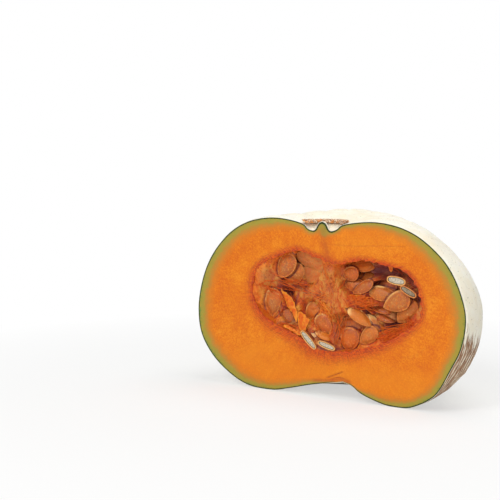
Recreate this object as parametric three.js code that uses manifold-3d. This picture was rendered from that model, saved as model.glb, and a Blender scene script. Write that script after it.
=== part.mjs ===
// Half of a crown pumpkin, cut straight down from the stem to the blossom end, with its pulp and seeds.
// It stands on its underside with the cut face upright. Millimetres, +Z up, the cut face looks along -Y.
//
// Everything is first placed in the fruit's own frame: x runs along the cut from the stem's axis, y is the
// depth behind the cut and z the height above the surface it rests on. The exported group then moves it all
// so that the origin is the bottom centre of the bounding box.
import * as THREE from "three";
import { ParametricGeometry } from "three/addons/geometries/ParametricGeometry.js";
import { mergeVertices } from "three/addons/utils/BufferGeometryUtils.js";
import Module from "manifold-3d";

const wasm = await Module();
wasm.setup();

const GAP = 0.35; // left between pieces that touch
const HALF_TURN = Math.PI;
const FULL_TURN = 2 * Math.PI;

// The fruit's outline from stem to blossom end. Each row is a ring round the fruit: where it meets the cut
// on the left and on the right (x, z), where it lies at the back of the fruit (y, z), and how far the ribs
// stand out of it.
const RINGS = [
  { left: [0, 146.8], right: [0, 146.8], back: [0, 146.8], swell: 0 }, // stem core, top
  { left: [-3.5, 145.2], right: [3.4, 145], back: [3.6, 145.6], swell: 0 }, // stem core, edge
  { left: [-7.4, 139.4], right: [7.2, 139.3], back: [7.6, 139.5], swell: 0 }, // groove round the core
  { left: [-13, 140.1], right: [12.9, 140.4], back: [13, 140.4], swell: 0 }, // groove's outer wall
  { left: [-17.2, 143.8], right: [17.4, 143.8], back: [17.6, 144], swell: 0.2 }, // rim under the stem scar
  { left: [-37, 148.2], right: [33, 146.8], back: [36, 152], swell: 1 }, // crown, inside
  { left: [-54, 148.4], right: [50, 147.4], back: [54, 154], swell: 1.6 }, // crown
  { left: [-72, 144.8], right: [68, 144.4], back: [72, 151], swell: 2 },
  { left: [-88, 137], right: [84, 137.8], back: [88, 143], swell: 1.8 }, // shoulder
  { left: [-101.5, 125.2], right: [99, 126.8], back: [103, 130], swell: 2 },
  { left: [-113, 110], right: [110, 115], back: [114, 112], swell: 3 },
  { left: [-121.5, 90], right: [119.6, 97], back: [122, 92], swell: 4 }, // upper flank
  { left: [-125.6, 66], right: [124.8, 76], back: [126, 71], swell: 4.4 }, // equator
  { left: [-122.5, 43.5], right: [121.6, 53], back: [122, 48], swell: 5.4 }, // lower flank
  { left: [-111, 25.5], right: [112.6, 33.8], back: [111, 29], swell: 5.6 },
  { left: [-94, 11.5], right: [101, 14], back: [95, 12], swell: 0.8 },
  { left: [-76, 2.6], right: [86, 3.8], back: [79, 3], swell: 0.2 }, // heel
  { left: [-54, -1.2], right: [69, -1.6], back: [59, -1.6], swell: 0 }, // foot, worn flat at z 0
  { left: [-32, 3.5], right: [50, 2.5], back: [42, 5.8], swell: 0 },
  { left: [-12, 8.8], right: [35, 8], back: [24, 10.4], swell: 0 }, // blossom dimple, wall
  { left: [4, 12.2], right: [28, 12.8], back: [12, 13], swell: 0 },
  { left: [20, 15.2], right: [20, 15.2], back: [0, 15.2], swell: 0 }, // blossom end
];

// Ribs: the azimuths of the furrows between them, from the right end of the cut round the back to the left
// end, and each rib's share of its ring's swell.
const FURROWS = [0, 24, 45, 69, 92, 114, 137, 159, 180];
const RIB_SHARES = [1.25, 0.85, 1, 0.85, 0.95, 0.8, 1, 0.8];
const RIB_ROUNDNESS = 0.72; // below 1 the furrows are narrow and the ribs broad
const RIB_CORE_RADIUS = 58; // ribs swell away from a ring of this radius inside the fruit
const RIB_CORE_HEIGHT = 76;
const BACK_SHARPNESS = 2.8; // how closely the back outline keeps to the back of the fruit

const BODY_SEGMENTS = 64; // round the whole fruit, before it is cut in half
const BODY_ROWS_PER_RING = 2;

// The seed cavity: its outline on the cut face (x, z), and how deep it goes behind the cut.
const CAVITY_CENTRE = [9, 80];
const CAVITY_DEPTH = 60;
const CAVITY_OUTLINE = [
  [-68, 86], [-62, 105], [-44, 115], [-24, 121], [-4, 115.5], [14, 111.5],
  [34, 115.5], [58, 113], [76, 107], [86, 91], [86, 73], [70, 59],
  [46, 46.5], [20, 40], [-6, 40.5], [-24, 50], [-46, 58], [-62, 69],
];
const CAVITY_SEGMENTS = 32;
const CAVITY_ROWS = 6;
const CAVITY_PROUD = 5; // how far the tool that hollows the fruit starts in front of the cut

// The pulp's open front: a shallow rim, and hollows where the seeds lie on each side of the middle strands.
const PULP_RIM_DEPTH = 3;
const PULP_HOLLOWS = [
  { x: -24, z: 106, depth: 15, halfWidth: 24, halfHeight: 15 },
  { x: -44, z: 82, depth: 14, halfWidth: 17, halfHeight: 17 },
  { x: -9, z: 66, depth: 7, halfWidth: 16, halfHeight: 14 },
  { x: 36, z: 105, depth: 16, halfWidth: 28, halfHeight: 15 },
  { x: 62, z: 84, depth: 16, halfWidth: 22, halfHeight: 22 },
  { x: 34, z: 58, depth: 8, halfWidth: 20, halfHeight: 16 },
];
const PULP_FRONT = { left: -78, right: 98, low: 30, high: 130, thickness: 40, columns: 16, rows: 10 };
const PULP_BENT_FROM = -1; // points of that block deeper than this are its back face

// The corky ring that the stem leaves round its core, as a profile (radius, z).
const SCAR_PROFILE = [[14.6, 144.4], [18, 145], [20.8, 146.3], [20.4, 147.4], [17, 147.3], [14.4, 146]];
const SCAR_CENTRE_X = 1.2; // the ring sits a little to the right of the stem's axis
const SCAR_SEGMENTS = 24;

// Seeds: centre x, depth y, height z; turn of the long axis in the cut plane, roll about it and dip of its
// blunt end into the fruit, in degrees; length, width, thickness. The pointed tip starts the axis.
const SEEDS = {
  seed_left_upper_front: [-37.8, 8.2, 106.8, 58, 0, 0, 24, 17.5, 4.6],
  seed_left_upper_behind: [-33, 12.4, 99.4, 42, 0, 0, 24, 17, 4.2],
  seed_left_upper_far: [-24.5, 19, 112, -28, -10, 0, 22, 14, 4],
  seed_left_inner: [-16.6, 15.4, 103.6, 46, 0, 10, 20, 14, 4],
  seed_left_upright: [-51.2, 9, 74.5, 88, 0, 0, 26, 16.5, 4.6],
  seed_left_low_film: [-12.6, 9.5, 69.9, 47, 0, 0, 16, 14.5, 4],
  seed_left_low: [-0.8, 7.4, 60.6, 140, 0, 0, 19, 15, 4],
  seed_left_edge_on: [-0.4, 6.8, 50.9, -18, -58, 0, 17.5, 10, 3],
  seed_left_deep: [-38.2, 12, 64.6, -53, -20, 0, 20, 12, 4],
  seed_left_husk: [-7, 4.2, 50, -34, -75, 0, 10.5, 5, 1.6],
  seed_cut_left: [-11.6, 1.2, 46.9, -45, 90, 0, 20, 13, 6.2],
  seed_cut_middle: [5.6, 1.2, 43.9, -16, 90, 0, 17, 13, 5.6],
  seed_middle_low_film: [23.3, 8, 49.6, 80, 0, 0, 20.5, 18, 4.4],
  seed_middle_low: [22.9, 12.6, 60.9, -14, -10, 0, 22, 14, 4.2],
  seed_right_low: [41.5, 5.6, 54.6, 41, 0, 0, 20, 13.5, 4.4],
  seed_right_tilted_upper: [33.6, 4.8, 69, 146, 54, 0, 24.5, 12, 4.6],
  seed_right_tilted_lower: [45.2, 10.6, 64, -40, -42, 0, 22, 9.5, 3.8],
  seed_right_inner_film: [22, 11, 103.4, -6, 0, 0, 15, 12.5, 4],
  seed_right_roof: [28.7, 17.4, 110, 0, -40, 0, 26, 13, 4],
  seed_right_roof_behind: [30, 21, 100, 9, -40, 0, 24, 13, 4],
  seed_right_shelf_behind: [24.7, 13.4, 93.8, -9, -20, 0, 20, 12, 4],
  seed_right_shelf: [34.8, 8.2, 93, 29, -25, 0, 21, 11, 4],
  seed_cut_right_upper: [67.7, 1.2, 101.6, -8, 84, 0, 16.5, 13, 7],
  seed_cut_right_lower: [78, 1.6, 93.6, -28, 84, 0, 15.5, 12, 6],
  seed_right_front: [65.7, 5.6, 84, 24, 0, 0, 25, 17, 4.6],
  seed_right_front_behind: [51.5, 11.2, 88.4, 170, 22, 0, 27, 12.4, 4.4],
  seed_right_outer: [72.3, 11, 75.7, 50, 0, 0, 24, 14.5, 4.4],
  seed_right_stacked_upper: [49, 15.5, 75.6, -7, -62, 0, 20, 12, 3.8],
  seed_right_stacked_lower: [52, 15, 69.3, -14, -62, 0, 20, 12, 3.8],
  seed_right_deep: [49.5, 18.8, 93.5, 6, -20, 0, 22, 13, 4],
};
const SEED_ROUND = 8;
const SEED_ROWS = 6;
const SEED_TIP_POWER = 0.2; // above 0 the tip is pointed, the other end round
const SEED_FULLNESS = 1.13; // brings the widest section back to the full width
const SEED_RIM_POWER = 0.8; // how blunt the edge is

const materials = {
  fruit: new THREE.MeshStandardMaterial({ color: 0xe27f2a, roughness: 0.5, metalness: 0 }),
  pulp: new THREE.MeshStandardMaterial({ color: 0xcf5a20, roughness: 0.4, metalness: 0 }),
  cork: new THREE.MeshStandardMaterial({ color: 0xc08a58, roughness: 0.9, metalness: 0 }),
  seed: new THREE.MeshStandardMaterial({ color: 0xd08a45, roughness: 0.4, metalness: 0 }),
};

// A geometry as a manifold-3d solid: only positions, shared vertices merged, collapsed faces dropped.
function solid(geometry) {
  const bare = geometry.clone();
  bare.deleteAttribute("normal");
  bare.deleteAttribute("uv");
  const merged = mergeVertices(bare, 1e-3);
  const faces = [];
  for (let i = 0; i < merged.index.count; i += 3) {
    const [a, b, c] = [0, 1, 2].map((k) => merged.index.getX(i + k));
    if (a !== b && b !== c && a !== c) faces.push(a, b, c);
  }
  return new wasm.Manifold(
    new wasm.Mesh({
      numProp: 3,
      vertProperties: merged.attributes.position.array,
      triVerts: new Uint32Array(faces),
    }),
  );
}

function namedMesh(name, manifold, material) {
  const { vertProperties, triVerts } = manifold.getMesh();
  const geometry = new THREE.BufferGeometry();
  geometry.setAttribute("position", new THREE.BufferAttribute(vertProperties, 3));
  geometry.setIndex(new THREE.BufferAttribute(triVerts, 1));
  geometry.computeVertexNormals();
  const mesh = new THREE.Mesh(geometry, material);
  mesh.name = name;
  return mesh;
}

function boxSolid(low, high) {
  const size = new THREE.Vector3().subVectors(high, low);
  const centre = new THREE.Vector3().addVectors(low, high).multiplyScalar(0.5);
  const box = new THREE.BoxGeometry(size.x, size.y, size.z);
  return solid(box.translate(centre.x, centre.y, centre.z));
}

const FAR = 400;
const inFrontOf = (y) => boxSolid(new THREE.Vector3(-FAR, -FAR, -FAR), new THREE.Vector3(FAR, y, FAR));

// A smooth line through one column of RINGS.
function meridian(column) {
  const points = RINGS.map((ring) => new THREE.Vector3(ring[column][0], 0, ring[column][1]));
  return new THREE.CatmullRomCurve3(points, false, "centripetal");
}

// A rib's share of the swell at an azimuth in radians: nothing in a furrow, most in the middle of the rib.
function ribShare(azimuth) {
  const degrees = Math.abs(THREE.MathUtils.radToDeg(azimuth));
  const i = Math.min(FURROWS.filter((f) => f <= degrees).length, FURROWS.length - 1) - 1;
  const across = (degrees - FURROWS[i]) / (FURROWS[i + 1] - FURROWS[i]);
  return RIB_SHARES[i] * Math.pow(Math.max(Math.sin(HALF_TURN * across), 0), RIB_ROUNDNESS);
}

function swellAt(row) {
  const i = Math.min(Math.floor(row), RINGS.length - 2);
  return THREE.MathUtils.lerp(RINGS[i].swell, RINGS[i + 1].swell, row - i);
}

function wholeFruit() {
  const [left, right, back] = ["left", "right", "back"].map(meridian);
  const lastRing = RINGS.length - 1;
  const pointOnFruit = (u, v, target) => {
    const azimuth = HALF_TURN - u * FULL_TURN; // clockwise from above, which turns the faces outwards
    const [l, r, b] = [left, right, back].map((line) => line.getPoint(v));
    const side = Math.cos(azimuth);
    const centreX = (l.x + r.x) / 2;
    const halfWidth = (r.x - l.x) / 2;
    const sideZ = side > 0 ? r.z : l.z;
    const x = centreX + halfWidth * side;
    const y = b.x * Math.sin(azimuth);
    const z = sideZ + (b.z - sideZ) * Math.pow(Math.abs(Math.sin(azimuth)), BACK_SHARPNESS);
    const fromAxis = Math.hypot(x - centreX, y);
    const outwards = new THREE.Vector2(fromAxis - RIB_CORE_RADIUS, z - RIB_CORE_HEIGHT).normalize();
    const swell = ribShare(azimuth) * swellAt(v * lastRing);
    const stretch = fromAxis > 0 ? (fromAxis + swell * outwards.x) / fromAxis : 1;
    target.set(centreX + (x - centreX) * stretch, y * stretch, Math.max(z + swell * outwards.y, 0));
  };
  return solid(new ParametricGeometry(pointOnFruit, BODY_SEGMENTS, lastRing * BODY_ROWS_PER_RING));
}

// The cavity as a dome behind the cut: its outline shrinks towards CAVITY_CENTRE as it deepens. It starts
// `proud` in front of the cut, and `inset` draws every wall in.
function cavityDome(proud, inset) {
  const outline = new THREE.CatmullRomCurve3(
    CAVITY_OUTLINE.map(([x, z]) => new THREE.Vector3(x, 0, z)),
    true,
    "centripetal",
  );
  const [cx, cz] = CAVITY_CENTRE;
  const pointOnDome = (u, v, target) => {
    const rim = outline.getPoint(u % 1);
    const reach = Math.hypot(rim.x - cx, rim.z - cz);
    const shrink = (reach - inset) / reach;
    const row = v * (CAVITY_ROWS + 2); // row 0 is the middle of the flat front, row 1 its rim
    const fall = Math.max(row - 2, 0) / CAVITY_ROWS;
    const share = row < 0.5 ? 0 : Math.cos((fall * HALF_TURN) / 2) * shrink;
    const y = row < 1.5 ? -proud : (CAVITY_DEPTH - inset) * Math.sin((fall * HALF_TURN) / 2);
    target.set(cx + (rim.x - cx) * share, y, cz + (rim.z - cz) * share);
  };
  return solid(new ParametricGeometry(pointOnDome, CAVITY_SEGMENTS, CAVITY_ROWS + 2));
}

function pulpDepth(x, z) {
  return PULP_HOLLOWS.reduce((depth, h) => {
    const away = ((x - h.x) / h.halfWidth) ** 2 + ((z - h.z) / h.halfHeight) ** 2;
    return depth + h.depth * Math.exp(-away);
  }, PULP_RIM_DEPTH);
}

// Everything in front of the pulp: a block whose back face is bent to the pulp's open front.
function spaceBeforePulp() {
  const { left, right, low, high, thickness, columns, rows } = PULP_FRONT;
  const box = new THREE.BoxGeometry(right - left, thickness, high - low, columns, 1, rows);
  box.translate((left + right) / 2, -thickness / 2, (low + high) / 2);
  const position = box.attributes.position;
  for (let i = 0; i < position.count; i += 1) {
    if (position.getY(i) > PULP_BENT_FROM) {
      position.setY(i, pulpDepth(position.getX(i), position.getZ(i)));
    }
  }
  return solid(box);
}

// A flat drop: pointed at -x, round at +x, broad faces along y. grow makes it larger all round.
function seedSolid(length, width, thickness, grow) {
  const [halfLength, halfWidth, halfThickness] = [length, width, thickness].map((s) => s / 2 + grow);
  const pointOnSeed = (u, v, target) => {
    const along = -Math.cos(v * HALF_TURN);
    const oval = Math.sqrt(Math.max(1 - along * along, 0));
    const plump = SEED_FULLNESS * oval * Math.pow((along + 1) / 2, SEED_TIP_POWER);
    const angle = -u * FULL_TURN; // this way round the faces look outwards
    const across = Math.cos(angle);
    const through = Math.sign(Math.sin(angle)) * Math.pow(Math.abs(Math.sin(angle)), SEED_RIM_POWER);
    target.set(along * halfLength, through * halfThickness * plump, across * halfWidth * plump);
  };
  return solid(new ParametricGeometry(pointOnSeed, SEED_ROUND, SEED_ROWS));
}

function placedSeed(row, grow = 0) {
  const [x, y, z, turn, roll, dip, length, width, thickness] = row;
  const angles = [roll, -turn, dip].map((degrees) => THREE.MathUtils.degToRad(degrees));
  const matrix = new THREE.Matrix4().makeRotationFromEuler(new THREE.Euler(...angles, "YZX"));
  matrix.setPosition(x, y, z);
  return seedSolid(length, width, thickness, grow).transform(matrix.elements);
}

function stemScar() {
  const profile = SCAR_PROFILE.map(([radius, z]) => new THREE.Vector2(radius, z));
  const ring = new THREE.LatheGeometry([...profile, profile[0]], SCAR_SEGMENTS);
  ring.rotateX(HALF_TURN / 2);
  ring.translate(SCAR_CENTRE_X, 0, 0);
  return solid(ring).subtract(inFrontOf(GAP));
}

function buildHalf() {
  const cut = inFrontOf(0);
  const rows = Object.values(SEEDS);
  const pockets = rows.map((row) => placedSeed(row, GAP)).reduce((all, one) => all.add(one));
  const half = wholeFruit().subtract(cut).subtract(cavityDome(CAVITY_PROUD, 0)).subtract(pockets);

  // The seeds' pockets cut small crumbs off the pulp's rim, which would fall out of a real pumpkin.
  const pulpAndCrumbs = cavityDome(0, GAP).subtract(spaceBeforePulp()).subtract(pockets).decompose();
  const pulp = pulpAndCrumbs.sort((a, b) => b.volume() - a.volume())[0];

  const group = new THREE.Group();
  group.add(namedMesh("pumpkin_half", half, materials.fruit));
  group.add(namedMesh("pulp", pulp, materials.pulp));
  group.add(namedMesh("stem_scar", stemScar(), materials.cork));
  for (const [name, row] of Object.entries(SEEDS)) {
    group.add(namedMesh(name, placedSeed(row).subtract(cut), materials.seed));
  }

  const bounds = new THREE.Box3().setFromObject(group);
  const middle = bounds.getCenter(new THREE.Vector3());
  group.position.set(-middle.x, -middle.y, -bounds.min.z);
  return group;
}

export default buildHalf();
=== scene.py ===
"""Half of a crown pumpkin, cut from stem to blossom end, with its pulp and seeds.

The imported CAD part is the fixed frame. Every CAD node is replaced by a finer surface of the same shape and
place. Shapes are worked out in the fruit's own frame, in millimetres: x runs along the cut from the stem's
axis, y is the depth behind the cut and z the height above the floor. They go into the meshes in metres.
"""

import logging
import math
from collections.abc import Callable, Mapping, Sequence
from dataclasses import dataclass, field
from enum import Enum
from functools import partial
from typing import ClassVar

import bpy
import numpy as np
from bpy.types import Material, NodeSocket, NodeTree
from mathutils import Euler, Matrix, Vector


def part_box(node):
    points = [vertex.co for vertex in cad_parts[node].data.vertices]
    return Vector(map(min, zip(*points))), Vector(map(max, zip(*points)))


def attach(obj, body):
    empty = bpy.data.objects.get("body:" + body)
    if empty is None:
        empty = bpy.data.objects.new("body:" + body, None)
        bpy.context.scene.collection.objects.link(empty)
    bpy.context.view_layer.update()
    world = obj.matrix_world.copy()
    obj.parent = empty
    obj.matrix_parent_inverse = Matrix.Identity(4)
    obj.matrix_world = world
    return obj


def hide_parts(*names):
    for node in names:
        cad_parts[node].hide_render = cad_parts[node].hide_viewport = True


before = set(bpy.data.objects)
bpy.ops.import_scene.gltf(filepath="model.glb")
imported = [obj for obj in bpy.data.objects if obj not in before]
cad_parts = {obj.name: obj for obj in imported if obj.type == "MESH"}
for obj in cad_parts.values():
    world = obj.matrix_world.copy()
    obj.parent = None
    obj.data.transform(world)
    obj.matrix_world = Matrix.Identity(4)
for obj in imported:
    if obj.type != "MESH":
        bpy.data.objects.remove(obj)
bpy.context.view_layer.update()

LOG = logging.getLogger("crown_pumpkin")
MM = 0.001
BODY = "root"

Array = np.ndarray
Reads = dict[str, Array]
Adder = Callable[..., NodeSocket]
Share = NodeSocket | tuple[NodeSocket, float, float, float]


# -------- numbers and curves


def linear(hex_colour: str) -> tuple[float, float, float, float]:
    """Turns an sRGB colour into the linear one that a shader socket holds.

    Args:
        hex_colour: six hexadecimal digits.

    Returns:
        Red, green, blue and an alpha of 1.
    """
    parts = [int(hex_colour[i : i + 2], 16) / 255 for i in (0, 2, 4)]
    red, green, blue = (c / 12.92 if c <= 0.04045 else ((c + 0.055) / 1.055) ** 2.4 for c in parts)
    return red, green, blue, 1.0


def cells(size_mm: float) -> float:
    """The texture scale at which a pattern's cells are size_mm across."""
    return 1 / (size_mm * MM)


def ease(low: float, high: float, value: Array) -> Array:
    """Rises smoothly from 0 at low to 1 at high: 3t^2 - 2t^3 of the clamped share t."""
    share = np.clip((value - low) / (high - low), 0, 1)
    return share * share * (3 - 2 * share)


def bump(value: Array, centre: float, width: float) -> Array:
    """A bell of height 1 about centre: exp of minus the squared distance over width."""
    return np.exp(-(((value - centre) / width) ** 2))


def blend(start: Array, end: Array, share: Array) -> Array:
    """start where share is 0 and end where it is 1."""
    return start + (end - start) * share


def behind_cut(flat: Array, depth: Array) -> Array:
    """Points (x, z) of the cut's plane moved behind it by a depth, as (x, depth, z)."""
    return np.stack([flat[..., 0], np.broadcast_to(depth, flat.shape[:-1]), flat[..., 1]], -1)


def polar(x: Array, z: Array, centre: tuple[float, float]) -> tuple[Array, Array]:
    """The angle round a centre in the cut, from +x towards +z, and the distance from it."""
    return np.arctan2(z - centre[1], x - centre[0]), np.hypot(x - centre[0], z - centre[1])


def round_the_cut(angle: Array, table: Sequence[tuple[float, float]]) -> Array:
    """A value that a table gives at some degrees round the cut, run straight between them."""
    degrees, values = np.array(table).T
    return np.interp(np.degrees(angle) % 360, degrees, values, period=360)


def noise(points: Array, size: float, seed: int) -> Array:
    """Smooth noise: a random value at each corner of a cubic lattice, eased between the corners.

    Args:
        points: positions, with the coordinates on the last axis.
        size: the lattice spacing, in the points' unit.
        seed: which of the many noises.

    Returns:
        Values from -1 to 1.
    """
    place = np.asarray(points, float) / size
    corner = np.floor(place).astype(np.int64)
    share = place - corner
    share = share * share * (3 - 2 * share)
    total = np.zeros(place.shape[:-1])
    for step in np.ndindex(*(2,) * place.shape[-1]):
        key = (corner + step) @ np.array([374761393, 668265263, 2147483647])[: place.shape[-1]]
        key = key + seed * 1274126177
        key = (key ^ (key >> 13)) * 1274126177 & 0x7FFFFFFF
        value = ((key ^ (key >> 15)) & 0xFFFF) / 32767.5 - 1
        weight = np.prod(np.where(np.array(step) == 1, share, 1 - share), axis=-1)
        total += value * weight
    return total


def layered(points: Array, *layers: tuple[float, float, int]) -> Array:
    """The sum of several noises, each with its height, its size and its seed."""
    return sum(height * noise(points, size, seed) for height, size, seed in layers)


def spline(points: Sequence[Sequence[float]], at: Array, closed: bool = False) -> Array:
    """A centripetal Catmull-Rom curve, the same one that the CAD part's outlines follow.

    Args:
        points: the points that it runs through.
        at: where along it, with each point at its own whole number.
        closed: whether it runs on from the last point to the first.

    Returns:
        The positions, with one more axis than at.
    """
    knots = np.asarray(points, float)
    count = len(knots)
    if closed:
        knots = np.vstack([knots[-1], knots, knots[:2]])
    else:
        knots = np.vstack([2 * knots[0] - knots[1], knots, 2 * knots[-1] - knots[-2]])
    span = np.clip(np.floor(at).astype(int), 0, count - (1 if closed else 2))
    share = (at - span)[..., None]
    p0, p1, p2, p3 = (knots[span + k] for k in range(4))
    d0, d1, d2 = (
        np.maximum(np.sum((b - a) ** 2, axis=-1, keepdims=True), 1e-9) ** 0.25
        for a, b in ((p0, p1), (p1, p2), (p2, p3))
    )
    leave = ((p1 - p0) / d0 - (p2 - p0) / (d0 + d1) + (p2 - p1) / d1) * d1
    arrive = ((p2 - p1) / d1 - (p3 - p1) / (d1 + d2) + (p3 - p2) / d2) * d1
    square = -3 * p1 + 3 * p2 - 2 * leave - arrive
    cube = 2 * p1 - 2 * p2 + leave + arrive
    return p1 + leave * share + square * share**2 + cube * share**3


def loop(points: Sequence[Sequence[float]], steps: int) -> Array:
    """A closed curve through some points, whose last position is its first again."""
    return spline(points, np.linspace(0, len(points), steps + 1) % len(points), closed=True)


def whole_turn(steps: int) -> Array:
    """Angles once round, of which the last is 0 again so that the ends meet exactly."""
    return np.linspace(0, 2 * np.pi, steps + 1) % (2 * np.pi)


def distance_to_line(points: Array, line: Array) -> Array:
    """The shortest distance from points to a line: to each straight stretch at its nearest place.

    Args:
        points: places in a plane, with the coordinates on the last axis.
        line: the ends of the straight stretches, in order.

    Returns:
        The distances.
    """
    best = np.full(points.shape[:-1], np.inf)
    for start, end in zip(line[:-1], line[1:]):
        run = end - start
        share = np.clip((points - start) @ run / max(run @ run, 1e-12), 0, 1)
        best = np.minimum(best, np.linalg.norm(points - start - share[..., None] * run, axis=-1))
    return best


# -------- meshes


def put(name: str, data: bpy.types.ID) -> bpy.types.Object:
    """Puts an object into the scene.

    Args:
        name: its name.
        data: its mesh, lamp or camera.

    Returns:
        The object.
    """
    thing = bpy.data.objects.new(name, data)
    bpy.context.scene.collection.objects.link(thing)
    return thing


@dataclass(frozen=True)
class FruitFrame:
    """Where the fruit's own frame lies in the part's frame, in metres."""

    stem_x: float
    cut_y: float
    floor_z: float

    @classmethod
    def from_cad(cls) -> "FruitFrame":
        """The stem's axis is the middle of its corky ring, and the cut is the front of the half."""
        scar_low, scar_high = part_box("stem_scar")
        half_low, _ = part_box("pumpkin_half")
        return cls((scar_low.x + scar_high.x) / 2, half_low.y, half_low.z)

    def metres(self, points: Array) -> Array:
        """Fruit millimetres to metres in the part's frame."""
        return points * MM + np.array([self.stem_x, self.cut_y, self.floor_z])

    def middle(self, node: str) -> Array:
        """The middle of a CAD node's box, in fruit millimetres."""
        low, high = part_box(node)
        return (np.array((low + high) / 2) - np.array([self.stem_x, self.cut_y, self.floor_z])) / MM


@dataclass
class Sheet:
    """A surface on a grid of two parameters. Its faces look along columns x rows.

    Args:
        points: rows x columns x 3, in fruit millimetres.
        reads: what its material reads at each point, numbers or vectors.
        finish: which of the piece's materials it wears.
    """

    points: Array
    reads: Reads = field(default_factory=dict)
    finish: int = 0

    def quads(self, first: int) -> Array:
        """The grid's faces as numbers of their corner points.

        Args:
            first: the number of the sheet's first point.

        Returns:
            Faces x 4.
        """
        rows, columns = self.points.shape[:2]
        number = first + np.arange(rows * columns).reshape(rows, columns)
        corners = [number[:-1, :-1], number[:-1, 1:], number[1:, 1:], number[1:, :-1]]
        return np.stack(corners, -1).reshape(-1, 4)


class PieceMaker:
    """Turns sheets into finished pieces that ride on the part."""

    SHARP_EDGE = math.radians(62)
    WELD = 1e-4

    def __init__(self, place: FruitFrame) -> None:
        """Keeps the frame that every piece is placed in."""
        self.place = place

    def make(
        self,
        name: str,
        sheets: Sequence[Sheet],
        finishes: Sequence[Material],
        replaces: str | None = None,
    ) -> bpy.types.Object:
        """Welds sheets into one mesh and makes it a piece.

        Points of neighbouring sheets that coincide become one, and a quad with two corners in one place
        becomes a triangle, which closes seams and poles.

        Args:
            name: the piece's name.
            sheets: its surfaces.
            finishes: its materials, in the order that the sheets number them.
            replaces: the CAD node that it stands for.

        Returns:
            The piece.
        """
        points = np.concatenate([s.points.reshape(-1, 3) for s in sheets])
        starts = np.cumsum([0] + [s.points.shape[0] * s.points.shape[1] for s in sheets])
        quads = np.concatenate([s.quads(start) for s, start in zip(sheets, starts)])
        wears = np.concatenate([np.full(len(s.quads(0)), s.finish) for s in sheets])
        _, keep, merged = np.unique(
            np.round(points / self.WELD).astype(np.int64), axis=0, return_index=True, return_inverse=True
        )
        quads = merged.reshape(-1)[quads]
        same = quads == np.roll(quads, -1, axis=1)
        whole = ~same.any(axis=1)
        thirds = same.sum(axis=1) == 1
        triangles = quads[thirds][~same[thirds]].reshape(-1, 3)
        solid = (triangles != np.roll(triangles, -1, axis=1)).all(axis=1)
        triangles = triangles[solid]
        full = quads[whole]

        mesh = bpy.data.meshes.new(name)
        mesh.vertices.add(len(keep))
        mesh.vertices.foreach_set("co", self.place.metres(points[keep]).astype(np.float32).ravel())
        mesh.loops.add(triangles.size + full.size)
        mesh.polygons.add(len(triangles) + len(full))
        corners = np.concatenate([triangles.ravel(), full.ravel()])
        firsts = [np.arange(0, triangles.size, 3), triangles.size + np.arange(0, full.size, 4)]
        worn = np.concatenate([wears[thirds][solid], wears[whole]])
        mesh.loops.foreach_set("vertex_index", corners.astype(np.int32))
        mesh.polygons.foreach_set("loop_start", np.concatenate(firsts).astype(np.int32))
        mesh.polygons.foreach_set("material_index", worn.astype(np.int32))
        mesh.update(calc_edges=True)
        mesh.validate()
        for finish in finishes:
            mesh.materials.append(finish)
        self._write_reads(mesh, sheets, keep)
        mesh.shade_smooth()
        mesh.set_sharp_from_angle(angle=self.SHARP_EDGE)

        piece = put(name, mesh)
        if replaces:
            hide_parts(replaces)
        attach(piece, BODY)
        LOG.info("%-28s %7d faces", name, len(mesh.polygons))
        return piece

    @staticmethod
    def _write_reads(mesh: bpy.types.Mesh, sheets: Sequence[Sheet], keep: Array) -> None:
        """Writes what the materials read as point attributes; a sheet without one of them has zeros."""
        axes = {name: values.ndim for s in sheets for name, values in s.reads.items()}
        for name, count in axes.items():
            width = 3 if count == 3 else 1
            blanks = [np.zeros((*s.points.shape[:2], width)) for s in sheets]
            rows = [s.reads.get(name, blank).reshape(-1, width) for s, blank in zip(sheets, blanks)]
            values = np.concatenate(rows)[keep]
            kind, item = ("FLOAT_VECTOR", "vector") if width == 3 else ("FLOAT", "value")
            attribute = mesh.attributes.new(name, kind, "POINT")
            attribute.data.foreach_set(item, values.astype(np.float32).ravel())


# -------- finishes


def add_node(
    tree: NodeTree,
    kind: str,
    inputs: Mapping[str | int, object] | None = None,
    give: str | int = 0,
    stops: Sequence[tuple[float, str]] = (),
    **settings: object,
) -> NodeSocket | None:
    """Adds one shader node with its settings and links.

    Args:
        tree: the material's node tree.
        kind: the node's type, without its ShaderNode prefix.
        inputs: for a socket's name or number, its value or the output that it is linked from.
        give: which output is wanted.
        stops: a colour ramp's stops, as places and hexadecimal colours.
        settings: the node's own properties.

    Returns:
        The wanted output, or None from a node that has no output.
    """
    node = tree.nodes.new("ShaderNode" + kind)
    for name, value in settings.items():
        setattr(node, name, value)
    for key, value in (inputs or {}).items():
        if isinstance(value, NodeSocket):
            tree.links.new(value, node.inputs[key])
        else:
            node.inputs[key].default_value = value
    if stops:
        ramp = node.color_ramp
        while len(ramp.elements) < len(stops):
            ramp.elements.new(1.0)
        for element, (place, colour) in zip(ramp.elements, stops):
            element.position = place
            element.color = linear(colour)
    return node.outputs[give] if node.outputs else None


def clear_nodes(owner: Material | bpy.types.World) -> Adder:
    """Empties a node tree.

    Args:
        owner: the material or world whose tree it is.

    Returns:
        What adds nodes to it.
    """
    owner.use_nodes = True
    owner.node_tree.nodes.clear()
    return partial(add_node, owner.node_tree)


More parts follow.
